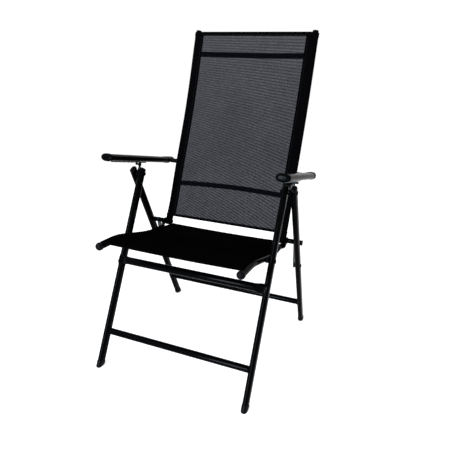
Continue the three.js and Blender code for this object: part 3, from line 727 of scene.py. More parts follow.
def moulded_plastic(name, color, roughness, level):
    """Moulded plastic with a fine spark-eroded grain and slightly uneven gloss."""
    finish = Finish(name, color, roughness, Specular_IOR_Level=level)
    place = finish.coordinates()
    grain = finish.noise(place, 1400, 2.0)
    patches = finish.noise(place, 60, 4.0)
    finish.feed("Roughness", finish.spread(patches, 0.3, 0.7, roughness - 0.06, roughness + 0.08))
    scuffs = finish.spread(finish.noise(place, 210, 6.0, 0.8), 0.62, 0.80, 0.0, 0.6)
    paler = tuple(2.5 * c for c in color)
    finish.feed("Base Color", finish.blend(scuffs, color, paler))
    finish.bump(grain, 0.00003, 0.3)
    return finish.material


def zinc_plate(name, color, roughness):
    """Zinc-plated steel with soft mottling and fine drawn lines."""
    finish = Finish(name, color, roughness, Metallic=1.0)
    drawn = finish.noise(finish.coordinates(scale=(4, 1, 1)), 500, 3.0)
    mottle = finish.noise(finish.coordinates(), 140, 4.0, 0.65)
    darker = tuple(0.72 * c for c in color)
    finish.feed("Base Color", finish.blend(mottle, darker, color))
    finish.feed("Roughness", finish.spread(mottle, 0.3, 0.7, roughness - 0.08, roughness + 0.12))
    finish.bump(drawn, 0.00008, 0.4)
    return finish.material


def sewing_thread():
    """Matt twisted thread."""
    finish = Finish("Sewing thread", (0.010, 0.011, 0.014), 0.6, Specular_IOR_Level=0.05)
    finish.bump(finish.noise(finish.coordinates(), 2200, 2.0), 0.0002)
    return finish.material


WEAVE_PITCH = 0.0017
RIB_PITCH = 0.0098
RIB_TILT = 45
RIB_WANDER = 0.35
PANEL_MIDDLE = 0.300
PANEL_TALL = 0.69
# How open the back panel is at its bottom and top: less open at the bottom, a painted shade
OPEN_LOW_SHARE, OPEN_TOP_SHARE = 0.58, 1.06
RIB_LOW_SHARE, RIB_TOP_SHARE = 1.22, 0.74
LIGHT_THROUGH_MESH = (0.87, 0.89, 1.0, 1)


def woven(name, color, level, open_share=0.0, rib_strength=0.0):
    """Coated-yarn mesh on the cloth's UV map: crossing round yarns, with holes if it is one layer."""
    finish = Finish(name, color, 0.7, Specular_IOR_Level=level)
    parts = finish.add("ShaderNodeSeparateXYZ")
    finish.link(finish.coordinates("UV"), parts.inputs["Vector"])
    x, y = parts.outputs["X"], parts.outputs["Y"]
    across, up = [finish.math("MULTIPLY", way, math.pi / WEAVE_PITCH) for way in (x, y)]
    warp, weft = [finish.math("ABSOLUTE", finish.math("SINE", way)) for way in (across, up)]
    crossed = finish.product(finish.math("COSINE", across), finish.math("COSINE", up))
    yarns = finish.math("MAXIMUM", warp, weft)
    twist = finish.cloth_noise(260, 2600, 3.0)
    height = finish.math("MULTIPLY_ADD", finish.math("SIGN", crossed), 0.12, yarns)
    finish.bump(finish.math("ADD", height, finish.math("MULTIPLY", twist, 0.25)), 0.0005, 0.7)
    # Painted sheen: the yarn crests are paler, in random streaks of the twist noise
    crest_sheen_and_twist = finish.product(twist, finish.math("POWER", yarns, 2.0))
    paler = tuple(2.6 * c for c in color)
    finish.feed("Base Color", finish.blend(crest_sheen_and_twist, color, paler))
    if open_share:
        let_through(finish, x, y, warp, weft, open_share, rib_strength)
    return finish.material


def let_through(finish, x, y, warp, weft, open_share, rib_strength):
    """Holes between the yarns, in slanting broken ribs where the yarns lie closer or wider apart."""
    slant = finish.math("MULTIPLY_ADD", y, -RIB_TILT / PANEL_TALL, RIB_TILT)
    aside = finish.math("SUBTRACT", x, PANEL_MIDDLE)
    turns = finish.math("MULTIPLY_ADD", y, 1 / RIB_PITCH, finish.product(aside, slant))
    turns = finish.math("MULTIPLY_ADD", finish.cloth_noise(14, 14), RIB_WANDER, turns)
    ribs = finish.math("SINE", finish.math("MULTIPLY", turns, 2 * math.pi))
    ribs = finish.product(ribs, finish.spread(finish.cloth_noise(95, 190), 0.35, 0.65, 0.15, 1.25))
    cloudy = finish.spread(finish.cloth_noise(9, 9), 0.3, 0.7, 0.92, 1.08)
    # Painted shade: the holes open less towards the bottom, so the lower panel shows darker
    painted_low_shade = finish.spread(y, 0.0, PANEL_TALL, OPEN_LOW_SHARE, OPEN_TOP_SHARE)
    depth = finish.spread(
        y, 0.0, PANEL_TALL, RIB_LOW_SHARE * rib_strength, RIB_TOP_SHARE * rib_strength,
    )
    wanted = finish.product(finish.math("MULTIPLY_ADD", ribs, depth, 1.0), cloudy, painted_low_shade)
    # A hole is widest open at its middle and shut on the yarns, and averages to the open share
    beside, above = [
        finish.math("SUBTRACT", 1.0, finish.math("MULTIPLY", yarn, yarn)) for yarn in (warp, weft)
    ]
    opening = finish.product(beside, above, 4 * open_share)
    clear = finish.add("ShaderNodeBsdfTransparent")
    clear.inputs["Color"].default_value = LIGHT_THROUGH_MESH
    mixer = finish.add("ShaderNodeMixShader")
    finish.link(finish.math("MULTIPLY", opening, wanted, clamp=True), mixer.inputs["Fac"])
    finish.link(finish.shader.outputs["BSDF"], mixer.inputs[1])
    finish.link(clear.outputs["BSDF"], mixer.inputs[2])
    finish.link(mixer.outputs["Shader"], finish.nodes["Material Output"].inputs["Surface"])


paint = powder_coat()
plastic = moulded_plastic("Black plastic", (0.0012, 0.0013, 0.0018), 0.40, 0.045)
armrest_finish = moulded_plastic("Armrest plastic", (0.0010, 0.0011, 0.0012), 0.20, 0.009)
plug_finish = moulded_plastic("Plug plastic", (0.0008, 0.0009, 0.0011), 0.14, 0.02)
zinc = zinc_plate("Zinc plate", (0.34, 0.36, 0.37), 0.34)
dark_zinc = zinc_plate("Dark zinc", (0.016, 0.026, 0.031), 0.30)
mesh_cloth = woven("Back mesh", (0.0012, 0.0013, 0.0018), 0.006, 0.080, 0.52)
seat_mesh = woven("Seat mesh", (0.0007, 0.0007, 0.0008), 0.0, 0.014, 0.2)
double_cloth = woven("Doubled mesh", (0.0007, 0.0007, 0.0009), 0.004)
thread = sewing_thread()


# Legs, feet and caps
def make_leg(line, x):
    ends = (line.start, line.length + LEG_BEYOND_BOLT)
    return sweep(oval_outline(LEG_WIDE, LEG_DEEP), [line.station(x, along) for along in ends])


def make_foot(line, x):
    """A plastic shoe, cut flat by the floor, with a rounded sole edge and rim."""
    outline = oval_outline(LEG_WIDE + 2 * FOOT_WALL, LEG_DEEP + 2 * FOOT_WALL)
    ends = (-LEG_DEEP / 2, line.start + FOOT_SKIRT)
    bm = sweep(outline, [line.station(x, along) for along in ends])
    bmesh.ops.bisect_plane(
        bm, geom=bm.verts[:] + bm.edges[:] + bm.faces[:], dist=1e-7,
        plane_co=(0, 0, 0), plane_no=(0, 0, 1), clear_inner=True,
    )
    bmesh.ops.holes_fill(bm, edges=[e for e in bm.edges if e.is_boundary], sides=0)
    sole = [e for e in bm.edges if all(v.co.z < 1e-6 for v in e.verts)]
    round_edges(bm, sole, SOLE_ROUND, 5)
    rim = max(bm.faces, key=lambda face: face.calc_center_median().z)
    round_edges(bm, list(rim.edges), RIM_ROUND, 2)
    return bm


def make_leg_cap(line, x):
    """A round-topped plug on the end of a leg."""
    base = line.length + LEG_BEYOND_BOLT + CLEARANCE
    radius = LEG_WIDE / 2
    stations = [line.station(x, base - CAP_LIP, CAP_TUCK_SHARE)]
    stations.append(line.station(x, base, 1 + CAP_LIP / radius))
    dome = arc(radius + CAP_LIP - CAP_ROUND, CAP_RISE - CAP_ROUND, CAP_ROUND, 0, math.pi / 2, 8)
    stations += [line.station(x, base + rise, reach / radius) for reach, rise in dome]
    return sweep(oval_outline(LEG_WIDE, LEG_DEEP), stations)


for part, line, x in (("front", front_line, FRONT_LEG_X), ("rear", rear_line, REAR_LEG_X)):
    body = f"{part}_frame"
    for name, make, finish, slot, node in (
        ("leg_tube", make_leg, paint, "paint", "leg"),
        ("foot_shoe", make_foot, plastic, "plastic", "foot"),
        ("leg_dome", make_leg_cap, plastic, "plastic", "leg_cap"),
    ):
        add_sides(f"{part}_{name}", lambda: make(line, x), finish, body, slot, f"{part}_{node}")


# Stretchers
def make_weld(x, at):
    """A lumpy weld bead round the end of a stretcher."""
    section = arc(STRETCHER_R, 0, WELD_R, math.pi / 2, 5 * math.pi / 2, 10)[:-1]
    bm = spun(section, 64, closed=True)
    for vertex in bm.verts:
        angle = math.atan2(vertex.co.y, vertex.co.x)
        swell = 1 + WELD_LUMPS * abs(math.sin(16 * angle)) + WELD_DRIFT * math.sin(5 * angle)
        middle = Vector((STRETCHER_R * math.cos(angle), STRETCHER_R * math.sin(angle), 0))
        vertex.co = middle + (vertex.co - middle) * swell
    return along_x(bm, at, x)


def make_stretcher(line, leg_x, height):
    at = line.at(line.along(height))
    inner = leg_x - LEG_WIDE / 2
    ends = [tube_station(side * (inner + TUBE_INTO_LEG), at) for side in (-1, 1)]
    tube = sweep(round_outline(STRETCHER_R), ends)
    return joined(tube, make_weld(-inner, at), make_weld(inner, at))


def make_high_stretcher():
    """A round tube in front of the legs with its ends pressed into tall thin tabs."""
    ahead = LEG_DEEP / 2 + CLEARANCE + TAB_THICK / 2
    point = front_line.at(front_line.along(HIGH_STRETCHER_Z), -ahead)
    round_end = LEG_INNER_X - TAB_PRESS_LONG
    places = spaced(round_end, LEG_INNER_X, 9) + [LEG_OUTER_X - TAB_SHORT]
    stations = []
    for x in [-x for x in reversed(places)] + places:
        pressed = eased((abs(x) - round_end) / TAB_PRESS_LONG)
        out = front_line.across * mix(1, TAB_THICK / 2 / HIGH_STRETCHER_R, pressed)
        up = front_line.direction * mix(1, TAB_TALL / 2 / HIGH_STRETCHER_R, pressed)
        stations.append(tube_station(x, point, out, up))
    return sweep(round_outline(HIGH_STRETCHER_R, 36), stations)


def make_screw():
    """A pan-head screw through a tab, with the cross of its drive."""
    seat = LEG_DEEP / 2 + 2 * CLEARANCE + TAB_THICK
    profile = [(0, -seat), (SCREW_R, -seat), (SCREW_R, 0), (SCREW_HEAD_R, 0)]
    profile += [(SCREW_HEAD_R * SCREW_TOP_SHARE, SCREW_RISE), (0, SCREW_RISE)]
    bm = spun(rounded(profile, EDGE_ROUND), 28)
    for turn in (45, 135):
        arm = bmesh.new()
        bmesh.ops.create_cube(arm, size=1)
        bmesh.ops.scale(arm, verts=arm.verts, vec=(CROSS_LONG, CROSS_WIDE, CROSS_DEEP))
        rotation = Matrix.Rotation(math.radians(turn), 3, "Z")
        bmesh.ops.rotate(arm, verts=arm.verts, cent=(0, 0, 0), matrix=rotation)
        lift = SCREW_RISE - CROSS_DEEP / 2 + CROSS_PROUD
        bmesh.ops.translate(arm, verts=arm.verts, vec=(0, 0, lift))
        bm = joined(bm, arm)
    at = front_line.at(front_line.along(HIGH_STRETCHER_Z) - TAB_SCREW_DROP, -seat)
    return facing(bm, FRONT_LEG_X, at, -front_line.across)


for part, line, leg_x, height, node in (
    ("front_low", front_line, FRONT_LEG_X, LOW_STRETCHER_Z, "front_low_stretcher"),
    ("rear", rear_line, REAR_LEG_X, REAR_STRETCHER_Z, "rear_stretcher"),
):
    body = "front_frame" if line is front_line else "rear_frame"
    bm = make_stretcher(line, leg_x, height)
    add_piece(f"{part}_stretcher_tube", bm, paint, body, "paint", [node])
add_piece(
    "front_high_stretcher_tube", make_high_stretcher(), paint, "front_frame", "paint",
    ["front_high_stretcher"], bevel=PLATE_BEVEL,
)
add_sides("stretcher_pan_screw", make_screw, paint, "front_frame", "zinc", "stretcher_screw")


# Bolts and rivets, from profiles of (radius, x)
def shank(radius, start, end):
    return [(radius, start), (radius, end)]


def nut_profile(face):
    """A nut inside a face, its inner end drawn in."""
    end = face - NUT_THICK
    return [(0, end), (NUT_TOP_R, end), (NUT_R, face - NUT_THICK / 2), (NUT_R, face)]


def head_profile(face, rim_share=0.5, top_share=0.66):
    """A low domed head outside a face."""
    top = face + HEAD_THICK
    return shank(HEAD_R, face, mix(face, top, rim_share)) + [(HEAD_R * top_share, top), (0, top)]


def make_seat_bolt():
    start = SEAT_TUBE_X - HEAD_THICK
    end = LEG_OUTER_X + CLEARANCE
    profile = [(0, start)] + shank(SEAT_HEAD_R, start, SEAT_TUBE_X) + shank(BOLT_R, SEAT_TUBE_X, end)
    return turned_across(profile + head_profile(end, 0.4, 0.72), seat_pivot)


def make_leg_bolt():
    inner = LEG_INNER_X - CLEARANCE
    end = REAR_OUTER_X + CLEARANCE
    return turned_across(nut_profile(inner) + shank(BOLT_R, inner, end) + head_profile(end), crossing)


def make_link_rivet():
    end = REAR_OUTER_X + CLEARANCE
    profile = [(0, REAR_INNER_X)] + shank(BOLT_R, REAR_INNER_X, end) + head_profile(end)
    return turned_across(profile, link_pivot)


def make_back_bolt():
    """The rod across the side: nut inside the back tube, thick shoulder, thin end and its disc."""
    pressed_outer = SEAT_TUBE_X + SLEEVE_R + PRESS_GAP + PRESSED_THICK + CLEARANCE
    link_inner = LINK_X - LINK_THICK / 2 - CLEARANCE
    disc_inner = REAR_OUTER_X + ROD_DISC_GAP
    disc_outer = disc_inner + ROD_DISC_THICK
    inner = SEAT_TUBE_X - BACK_TUBE_R - CLEARANCE
    profile = nut_profile(inner) + shank(BOLT_R, inner, pressed_outer)
    profile += shank(ROD_R, pressed_outer, link_inner) + shank(BOLT_R, link_inner, disc_inner)
    profile += shank(ROD_DISC_R, disc_inner, disc_outer) + [(0, disc_outer)]
    return turned_across(profile, rod)


def make_rod_sleeve():
    start = LINK_X + LINK_THICK / 2 + CLEARANCE
    return tube_ring(ROD_R, start, REAR_OUTER_X + ROD_DISC_GAP - CLEARANCE, rod)


def make_seat_bush():
    start = SEAT_TUBE_X + SEAT_TUBE_R - BUSH_INTO_TUBE
    return tube_ring(SEAT_BUSH_R, start, LEG_INNER_X - CLEARANCE, seat_pivot)


add_sides("seat_pivot_bolt", make_seat_bolt, paint, "front_frame", "zinc", "seat_bolt")
add_sides("leg_cross_bolt", make_leg_bolt, paint, "front_frame", "zinc", "leg_bolt")
add_sides("link_end_rivet", make_link_rivet, paint, "rear_frame", "zinc", "link_rivet")
add_sides("back_rod", make_back_bolt, paint, "back_pins", "paint", "back_bolt")
add_sides(
    "rod_outer_sleeve", make_rod_sleeve, paint, "back_pins", "paint", "rod_sleeve", bevel=RING_BEVEL,
)
add_sides(
    "seat_pivot_bush", make_seat_bush, paint, "seat_frame", "zinc", "seat_bush", bevel=RING_BEVEL,
)


# Seat frame
SEAT_LENGTH = seat_curve.length
PRESSED_X = SEAT_TUBE_X + SLEEVE_R + PRESS_GAP + PRESSED_THICK / 2


def seat_tube_station(distance):
    """Round tube at first, then pressed flat and led outside the back tube."""
    point, _, up = seat_curve.frame(distance)
    pressed = eased((distance - SEAT_LENGTH + PRESS_START) / (PRESS_START - PRESS_END))
    wide = mix(1, PRESSED_THICK / 2 / SEAT_TUBE_R, pressed)
    tall = mix(1, PRESSED_R / SEAT_TUBE_R, pressed)
    return station(mix(SEAT_TUBE_X, PRESSED_X, pressed), point, up, wide, tall)


def make_seat_tube():
    distances = spaced(0, SEAT_LENGTH - PRESS_START, 60)
    distances += spaced(SEAT_LENGTH - PRESS_START, SEAT_LENGTH, 22)[1:]
    tube = sweep(round_outline(SEAT_TUBE_R), [seat_tube_station(d) for d in distances])
    half = PRESSED_THICK / 2
    return joined(tube, disc(PRESSED_R, PRESSED_X - half, PRESSED_X + half, rod, 40))


def make_seat_dome():
    """A full, round plastic cap on the front end of a seat tube."""
    shoulder = CLEARANCE + DOME_STRAIGHT
    profile = rounded([(0, CLEARANCE), (DOME_R, CLEARANCE), (DOME_R, shoulder)], DOME_EDGE)
    for out, on in arc(0, 0, 1, 0, math.pi / 2, 12)[1:-1]:
        profile.append((DOME_R * out, mix(shoulder, DOME_LONG, on)))
    point, direction, _ = seat_curve.frame(0)
    return facing(spun(profile + [(0, DOME_LONG)], 36), SEAT_TUBE_X, point, -direction)


add_sides("seat_side_tube", make_seat_tube, paint, "seat_frame", "paint", "seat_tube")
add_sides("seat_front_dome", make_seat_dome, plastic, "seat_frame", "plastic", "seat_tube_cap")
rear_spreader_at = mix(SEAT_AHEAD, SEAT_LENGTH, REAR_SPREADER_SHARE)
for node, distance, bow in (
    ("seat_front_spreader", SEAT_AHEAD - FRONT_SPREADER_AHEAD, FRONT_SPREADER_BOW),
    ("seat_rear_spreader", rear_spreader_at, REAR_SPREADER_BOW),
):
    bar = bowed_bar(SPREADER_R, seat_curve.frame(distance)[0], Vector((0, -bow)))
    add_piece(f"{node}_bar", bar, paint, "seat_frame", "paint", [node])


# Flat links at the rear and under the armrests
ARM_RUN = Vector((math.cos(ARM_SLOPE), -math.sin(ARM_SLOPE)))
ARM_UP = Vector((math.sin(ARM_SLOPE), math.cos(ARM_SLOPE)))


def arm_point(along, down=0.0):
    """A side-view point in the armrest's own directions: to the rear along it, and down."""
    return arm_pivot + ARM_RUN * along - ARM_UP * down


pin = arm_point(-PIN_FROM, ARM_TALL / 2 + RAIL_TALL + CLEARANCE + PIN_GAP + PIN_R)


def make_rear_link():
    bar = plate(bar_outline(rod, link_pivot, LINK_HALF_WIDE), LINK_X, LINK_THICK)
    return joined(bar, disc(LINK_BOSS_R, LINK_X, REAR_INNER_X - CLEARANCE, link_pivot))


def make_ratchet_link():
    """A flat arm from the leg bolt that steps outward, with its eye and the pin under the rail."""
    half, wide = LINK_THICK / 2, TOP_LINK_HALF_WIDE
    reach = (pin - crossing).length
    along = (pin - crossing).normalized()
    square = Vector((-along.y, along.x))
    top_x = LINK_X + TOP_LINK_STEP
    step_end = reach - STEP_ROOM
    stations = []
    for distance in [0] + spaced(STEP_FROM, step_end, 8) + [reach]:
        stepped = eased((distance - STEP_FROM) / (step_end - STEP_FROM))
        stations.append(station(mix(LINK_X, top_x, stepped), crossing + along * distance, square))
    arm = sweep([(-half, -wide), (-half, wide), (half, wide), (half, -wide)], stations)
    eye = disc(wide, top_x - half, top_x + half, pin)
    tip = disc(PIN_R, top_x, top_x + PIN_LONG - PIN_LIP, pin)
    head = disc(PIN_R + PIN_LIP, top_x + PIN_LONG - 2 * PIN_LIP, top_x + PIN_LONG, pin)
    return joined(arm, eye, tip, head)


def make_ratchet_boss():
    return disc(LINK_BOSS_R, LEG_OUTER_X + CLEARANCE, REAR_INNER_X - CLEARANCE, crossing)


add_sides(
    "rear_flat_link", make_rear_link, dark_zinc, "rear_links", "zinc", "rear_link", bevel=PLATE_BEVEL,
)
add_sides(
    "ratchet_flat_link", make_ratchet_link, dark_zinc, "ratchet_links", "zinc", "ratchet_link",
    bevel=PLATE_BEVEL,
)
add_sides("ratchet_boss", make_ratchet_boss, paint, "ratchet_links", "zinc")


# Back frame
BACK_LENGTH = back_curve.length
BACK_BARS = (
    ("back_low_bar", mix(rod.y, arm_pivot.y, LOW_BAR_SHARE), LOW_BAR_R),
    ("back_high_bar", rod.y + BACK_RISE * HIGH_BAR_SHARE, HIGH_BAR_R),
)


def back_station(distance, share=1.0):
    """Places an outline point round the back tube: u outward, v to the front."""
    point, _, front = back_curve.frame(distance)
    return station(SEAT_TUBE_X, point, front, share, share)


def make_back_tube():
    stations = [back_station(0, 1 - BACK_TUBE_END_ROUND / BACK_TUBE_R)]
    stations += [back_station(d) for d in spaced(BACK_TUBE_END_ROUND, BACK_LENGTH, 60)]
    return sweep(round_outline(BACK_TUBE_R), stations)


def make_back_cap():
    radius = BACK_TUBE_R + BACK_CAP_LIP
    profile = [(0, -CLEARANCE), (radius, -CLEARANCE), (radius, BACK_CAP_RISE), (0, BACK_CAP_RISE)]
    point, direction, _ = back_curve.frame(BACK_LENGTH)
    return facing(spun(rounded(profile, BACK_CAP_ROUND, 6), 36), SEAT_TUBE_X, point, direction)


add_sides("back_side_tube", make_back_tube, paint, "backrest", "paint", "back_tube")
add_sides("back_top_cap", make_back_cap, plastic, "backrest", "plastic", "back_tube_cap")
bar_rooms = []
for node, height, radius in BACK_BARS:
    distance = back_curve.at_height(height)
    bar_rooms.append((distance, radius + BAR_ROOM))
    bar = bowed_bar(radius, back_curve.frame(distance)[0], Vector((BAR_BOW, 0)))
    add_piece(f"{node}_tube", bar, paint, "backrest", "paint", [node])


# Cloth lines: points of (x, off), off being to the front of the back and upward on the seat
def round_tube(turn, steps):
    """Points of the cloth round a side tube, from its face outward."""
    return arc(SEAT_TUBE_X, 0, CLOTH_R, math.pi / 2, math.pi / 2 - turn, steps)


def flat_panel(count):
    return [(SEAT_TUBE_X * i / count, CLOTH_R) for i in range(count)]


def both_halves(right):
    return [(-x, off) for x, off in reversed(right)] + right[1:]


def seat_sag(x):
    return SEAT_SLING_SAG * (1 - (x / SEAT_TUBE_X) ** 2)


def back_cloth_line():
    """Across the panel, round the tube and back in behind the panel, where the sleeve is sewn."""
    inner = SEAT_TUBE_X - CLOTH_R
    flap = [(inner - FLAP_WIDE * share, CLOTH_R - FLAP_BEHIND) for share in (0.2, 0.6, 1)]
    return both_halves(flat_panel(16) + round_tube(SLEEVE_TURN, 36) + flap)


def seat_cloth_line():
    """Across the sagging panel to the crests of the tubes."""
    panel = [(x, off - seat_sag(x)) for x, off in flat_panel(16)]
    return both_halves(panel + round_tube(SEAT_SLING_WRAP, 4))


def hung(line, frame_at, distances):
    """Sweeps an open cloth line from distance to distance."""
    stations = []
    for distance in distances:
        point, _, face = frame_at(distance)
        stations.append(station(0, point, face))
    return sweep(line, stations, closed=False)


def hem_along(line, frame_at, middle, wide, thick, drop=0.0):
    """Sweeps a folded hem across the cloth, along its line or a little below it."""
    stations = []
    for i, (x, off) in enumerate(line):
        run = Vector(line[min(i + 1, len(line) - 1)]) - Vector(line[max(i - 1, 0)])
        outward = Vector((-run.y, run.x)).normalized()

        def place(u, v, x=x, off=off, outward=outward):
            point, _, face = frame_at(middle + v)
            return in_chair(x + u * outward.x, point + face * (off - drop + u * outward.y))

        stations.append(place)
    return sweep(oval_outline(thick, wide, 6), stations)


def open_round(bm, at, radius, low_x, high_x):
    """Cuts a round opening along x through the cloth between two x planes, on both sides."""
    reach = 1.25 * radius

    def inside(place):
        return low_x < abs(place.x) < high_x

    doomed = []
    for face in bm.faces:
        middle = face.calc_center_median()
        if inside(middle) and math.dist((middle.y, middle.z), at) < radius:
            doomed.append(face)
    rim = {v for face in doomed for v in face.verts}
    bmesh.ops.delete(bm, geom=doomed, context="FACES")
    for vertex in rim:
        if vertex.is_valid and vertex.is_boundary and inside(vertex.co):
            out = Vector((vertex.co.y, vertex.co.z)) - at
            if 0 < out.length < reach:
                vertex.co = in_chair(vertex.co.x, at + out.normalized() * radius)


def with_finer_steps(distances, fine_places):
    """The steps with finer ones round the places where something passes through the cloth."""
    count = round(FINE_REACH / FINE_STEP)
    fine = [place + FINE_STEP * i for place in fine_places for i in range(-count, count + 1)]
    clear = FINE_REACH + FINE_STEP
    coarse = [d for d in distances if all(abs(d - place) > clear for place in fine_places)]
    return sorted([d for d in fine if distances[0] < d < distances[-1]] + coarse)


# Seams
def stitch(start, end, outward):
    """One bead of thread lying on the cloth between two points."""
    run = end - start
    side = run.cross(outward).normalized()

    def bead_station(share, swell):
        middle = start + run * share
        return lambda u, v: middle + side * (u * swell) + outward * (v * swell)

    ends_and_belly = ((0, 0.3), (0.2, 1), (0.8, 1), (1, 0.3))
    return sweep(round_outline(STITCH_R, 5), [bead_station(*pair) for pair in ends_and_belly])


def on_cloth(frame_at, distance, x, off):
    """A place on the cloth's face, and the outward direction there."""
    point, _, face = frame_at(distance)
    return in_chair(x, point + face * off), in_chair(0, face)


def stitch_row(start, end, place):
    """Stitches from start to end; place gives the point and the outward direction at each."""
    count = int((end - start - 2 * SEAM_END_ROOM) / STITCH_PITCH)
    margin = (end - start - (count - 1) * STITCH_PITCH - STITCH_LONG) / 2
    beads = []
    for i in range(count):
        at = start + margin + i * STITCH_PITCH
        first, outward = place(at)
        beads.append(stitch(first, place(at + STITCH_LONG)[0], outward))
    return beads


# Back cloth: a stretched panel with a sewn sleeve round each side tube, open for the cross bars
back_end = BACK_LENGTH - BACK_SLING_TOP_GAP


def make_back_cloth():
    distances = with_finer_steps(spaced(BACK_SLING_FROM, back_end, 64), [d for d, _ in bar_rooms])
    bm = hung(back_cloth_line(), back_curve.frame, distances)
    inner = SEAT_TUBE_X - CLOTH_R
    for face in bm.faces:
        face.material_index = 0 if abs(face.calc_center_median().x) < inner - FLAP_WIDE else 1
    for distance, radius in bar_rooms:
        point = back_curve.frame(distance)[0]
        open_round(bm, point, radius, inner - OPENING_SPARE, SEAT_TUBE_X - CLOTH_R * OPENING_INTO_SHARE)
    return bm


def make_sleeve_foot():
    """The sleeve's lower end, which runs on down the tube below the panel."""
    scale = SLEEVE_R / BACK_TUBE_R
    rows = SLEEVE_FOOT_STATIONS + ((BACK_SLING_FROM + SLEEVE_FOOT_OVERLAP, 1),)
    stations = [back_station(distance, scale * share) for distance, share in rows]
    return sweep(round_outline(BACK_TUBE_R), stations)


def make_back_stitching():
    """A seam down each sleeve and one across each hem."""
    seam_x = SEAT_TUBE_X - CLOTH_R - FLAP_WIDE * SLEEVE_SEAM_SHARE
    low_end, top_end = BACK_SLING_FROM + BACK_HEM_WIDE, back_end - TOP_HEM_WIDE
    sleeve_off = CLOTH_R + CLOTH_THICK / 2 + STITCH_PROUD
    hem_off = CLOTH_R + HEM_THICK / 2 + STITCH_PROUD
    beads = []
    for x in (-seam_x, seam_x):
        beads += stitch_row(low_end, top_end, lambda d: on_cloth(back_curve.frame, d, x, sleeve_off))
    low_seam = BACK_SLING_FROM + BACK_HEM_WIDE * LOW_SEAM_SHARE
    for middle in (low_seam, back_end - TOP_HEM_WIDE * HEM_SEAM_SHARE):
        beads += stitch_row(
            -seam_x, seam_x, lambda x: on_cloth(back_curve.frame, middle, x, hem_off),
        )
    return joined(*beads)


back_cloth = add_piece(
    "back_cloth", make_back_cloth(), [mesh_cloth, double_cloth], "backrest", "cloth",
    ["back_sling"], keep_normals=True,
)
back_hem_line = both_halves(flat_panel(8) + round_tube(BACK_HEM_TURN, 30))
for name, middle, wide in (
    ("top", back_end - TOP_HEM_WIDE / 2, TOP_HEM_WIDE),
    ("bottom", BACK_SLING_FROM + BACK_HEM_WIDE / 2, BACK_HEM_WIDE),
):
    hem = hem_along(back_hem_line, back_curve.frame, middle, wide, HEM_THICK)
    add_piece(f"back_{name}_hem", hem, double_cloth, "backrest", "cloth")
add_sides("back_sleeve_foot", make_sleeve_foot, double_cloth, "backrest", "cloth")
add_piece("back_stitching", make_back_stitching(), thread, "backrest", "cloth")


# Seat cloth: on the tubes, then free between the back tubes to its rear hem
SEAT_LEAVES = SEAT_LENGTH - SWING_ROOM_R
seat_leaving_point = seat_curve.frame(SEAT_LEAVES)[0]
seat_rear_point = rod + Vector((SEAT_EDGE_BEHIND, -SEAT_EDGE_DROP - SEAT_TUBE_R - SEAT_EDGE_GAP))
seat_tail = seat_rear_point - seat_leaving_point
SEAT_CLOTH_END = SEAT_LEAVES + seat_tail.length
SEAT_NARROW_X = SEAT_TUBE_X - SLEEVE_R - SEAT_SIDE_GAP


def seat_cloth_frame(distance):
    """The seat curve, then the free tail, whose face turns upright over its first third."""
    point, direction, up = seat_curve.frame(min(distance, SEAT_LEAVES))
    if distance <= SEAT_LEAVES:
        return point, direction, up
    share = (distance - SEAT_LEAVES) / seat_tail.length
    level = mix(up, Vector((0, 1)), min(1, 3 * share))
    return seat_leaving_point + seat_tail * share, seat_tail.normalized(), level.normalized()


def make_seat_cloth(line):
    distances = spaced(SEAT_SLING_FROM, SEAT_LEAVES, 48)
    tail_from = len(distances)
    distances += spaced(SEAT_LEAVES, SEAT_CLOTH_END, 8)[1:]
    bm = hung(line, seat_cloth_frame, distances)
    step = bm.verts.layers.int["step"]
    beside_tail = [
        face for face in bm.faces
        if max(v[step] for v in face.verts) >= tail_from
        and abs(face.calc_center_median().x) > SEAT_NARROW_X
    ]
    bmesh.ops.delete(bm, geom=beside_tail, context="FACES")
    return bm


def make_seat_stitching():
    """A seam across each hem, following the sag."""
    seam_x = SEAT_NARROW_X - SEAM_INSET
    beads = []
    for middle, lift in (
        (SEAT_SLING_FROM + SEAT_HEM_WIDE * HEM_SEAM_SHARE, STITCH_PROUD),
        (SEAT_CLOTH_END - SEAT_HEM_WIDE * HEM_SEAM_SHARE, HEM_THICK / 2 + STITCH_PROUD),
    ):
        beads += stitch_row(
            -seam_x, seam_x,
            lambda x: on_cloth(seat_cloth_frame, middle, x, CLOTH_R + lift - seat_sag(x)),
        )
    return joined(*beads)


seat_line = seat_cloth_line()
rear_hem_line = [(-SEAT_NARROW_X, CLOTH_R)]
rear_hem_line += [p for p in seat_line if abs(p[0]) < SEAT_NARROW_X] + [(SEAT_NARROW_X, CLOTH_R)]
seat_cloth_piece = add_piece(
    "seat_cloth", make_seat_cloth(seat_line), seat_mesh, "seat_frame", "cloth", ["seat_sling"],
    keep_normals=True,
)
thickness = seat_cloth_piece.modifiers.new("Cloth thickness", "SOLIDIFY")
thickness.thickness = CLOTH_THICK
thickness.offset = 0.0
for name, line, middle, thick, drop in (
    ("front", seat_line, SEAT_SLING_FROM + SEAT_HEM_WIDE / 2, FRONT_HEM_THICK, FRONT_HEM_THICK / 2),
    ("rear", rear_hem_line, SEAT_CLOTH_END - SEAT_HEM_WIDE / 2, HEM_THICK, 0.0),
):
    hem = hem_along(line, seat_cloth_frame, middle, SEAT_HEM_WIDE, thick, drop)
    add_piece(f"seat_{name}_hem", hem, double_cloth, "seat_frame", "cloth")
add_piece("seat_stitching", make_seat_stitching(), thread, "seat_frame", "cloth")


# Armrests
def full_ellipse(wide, tall):
    """An ellipse with slightly squared shoulders."""
    points = []
    for u, v in round_outline(1, 44):
        full = [math.copysign(abs(c) ** (2 / ARM_FULLNESS), c) for c in (u, v)]
        points.append((wide / 2 * full[0], tall / 2 * full[1]))
    return points


def arm_station(along, share=1.0):
    """Places an outline point across an armrest; a share draws it in evenly all round."""
    wide = 1 - (1 - share) * ARM_TALL / ARM_WIDE
    return station(REAR_LEG_X, arm_point(along), ARM_UP, wide, share)


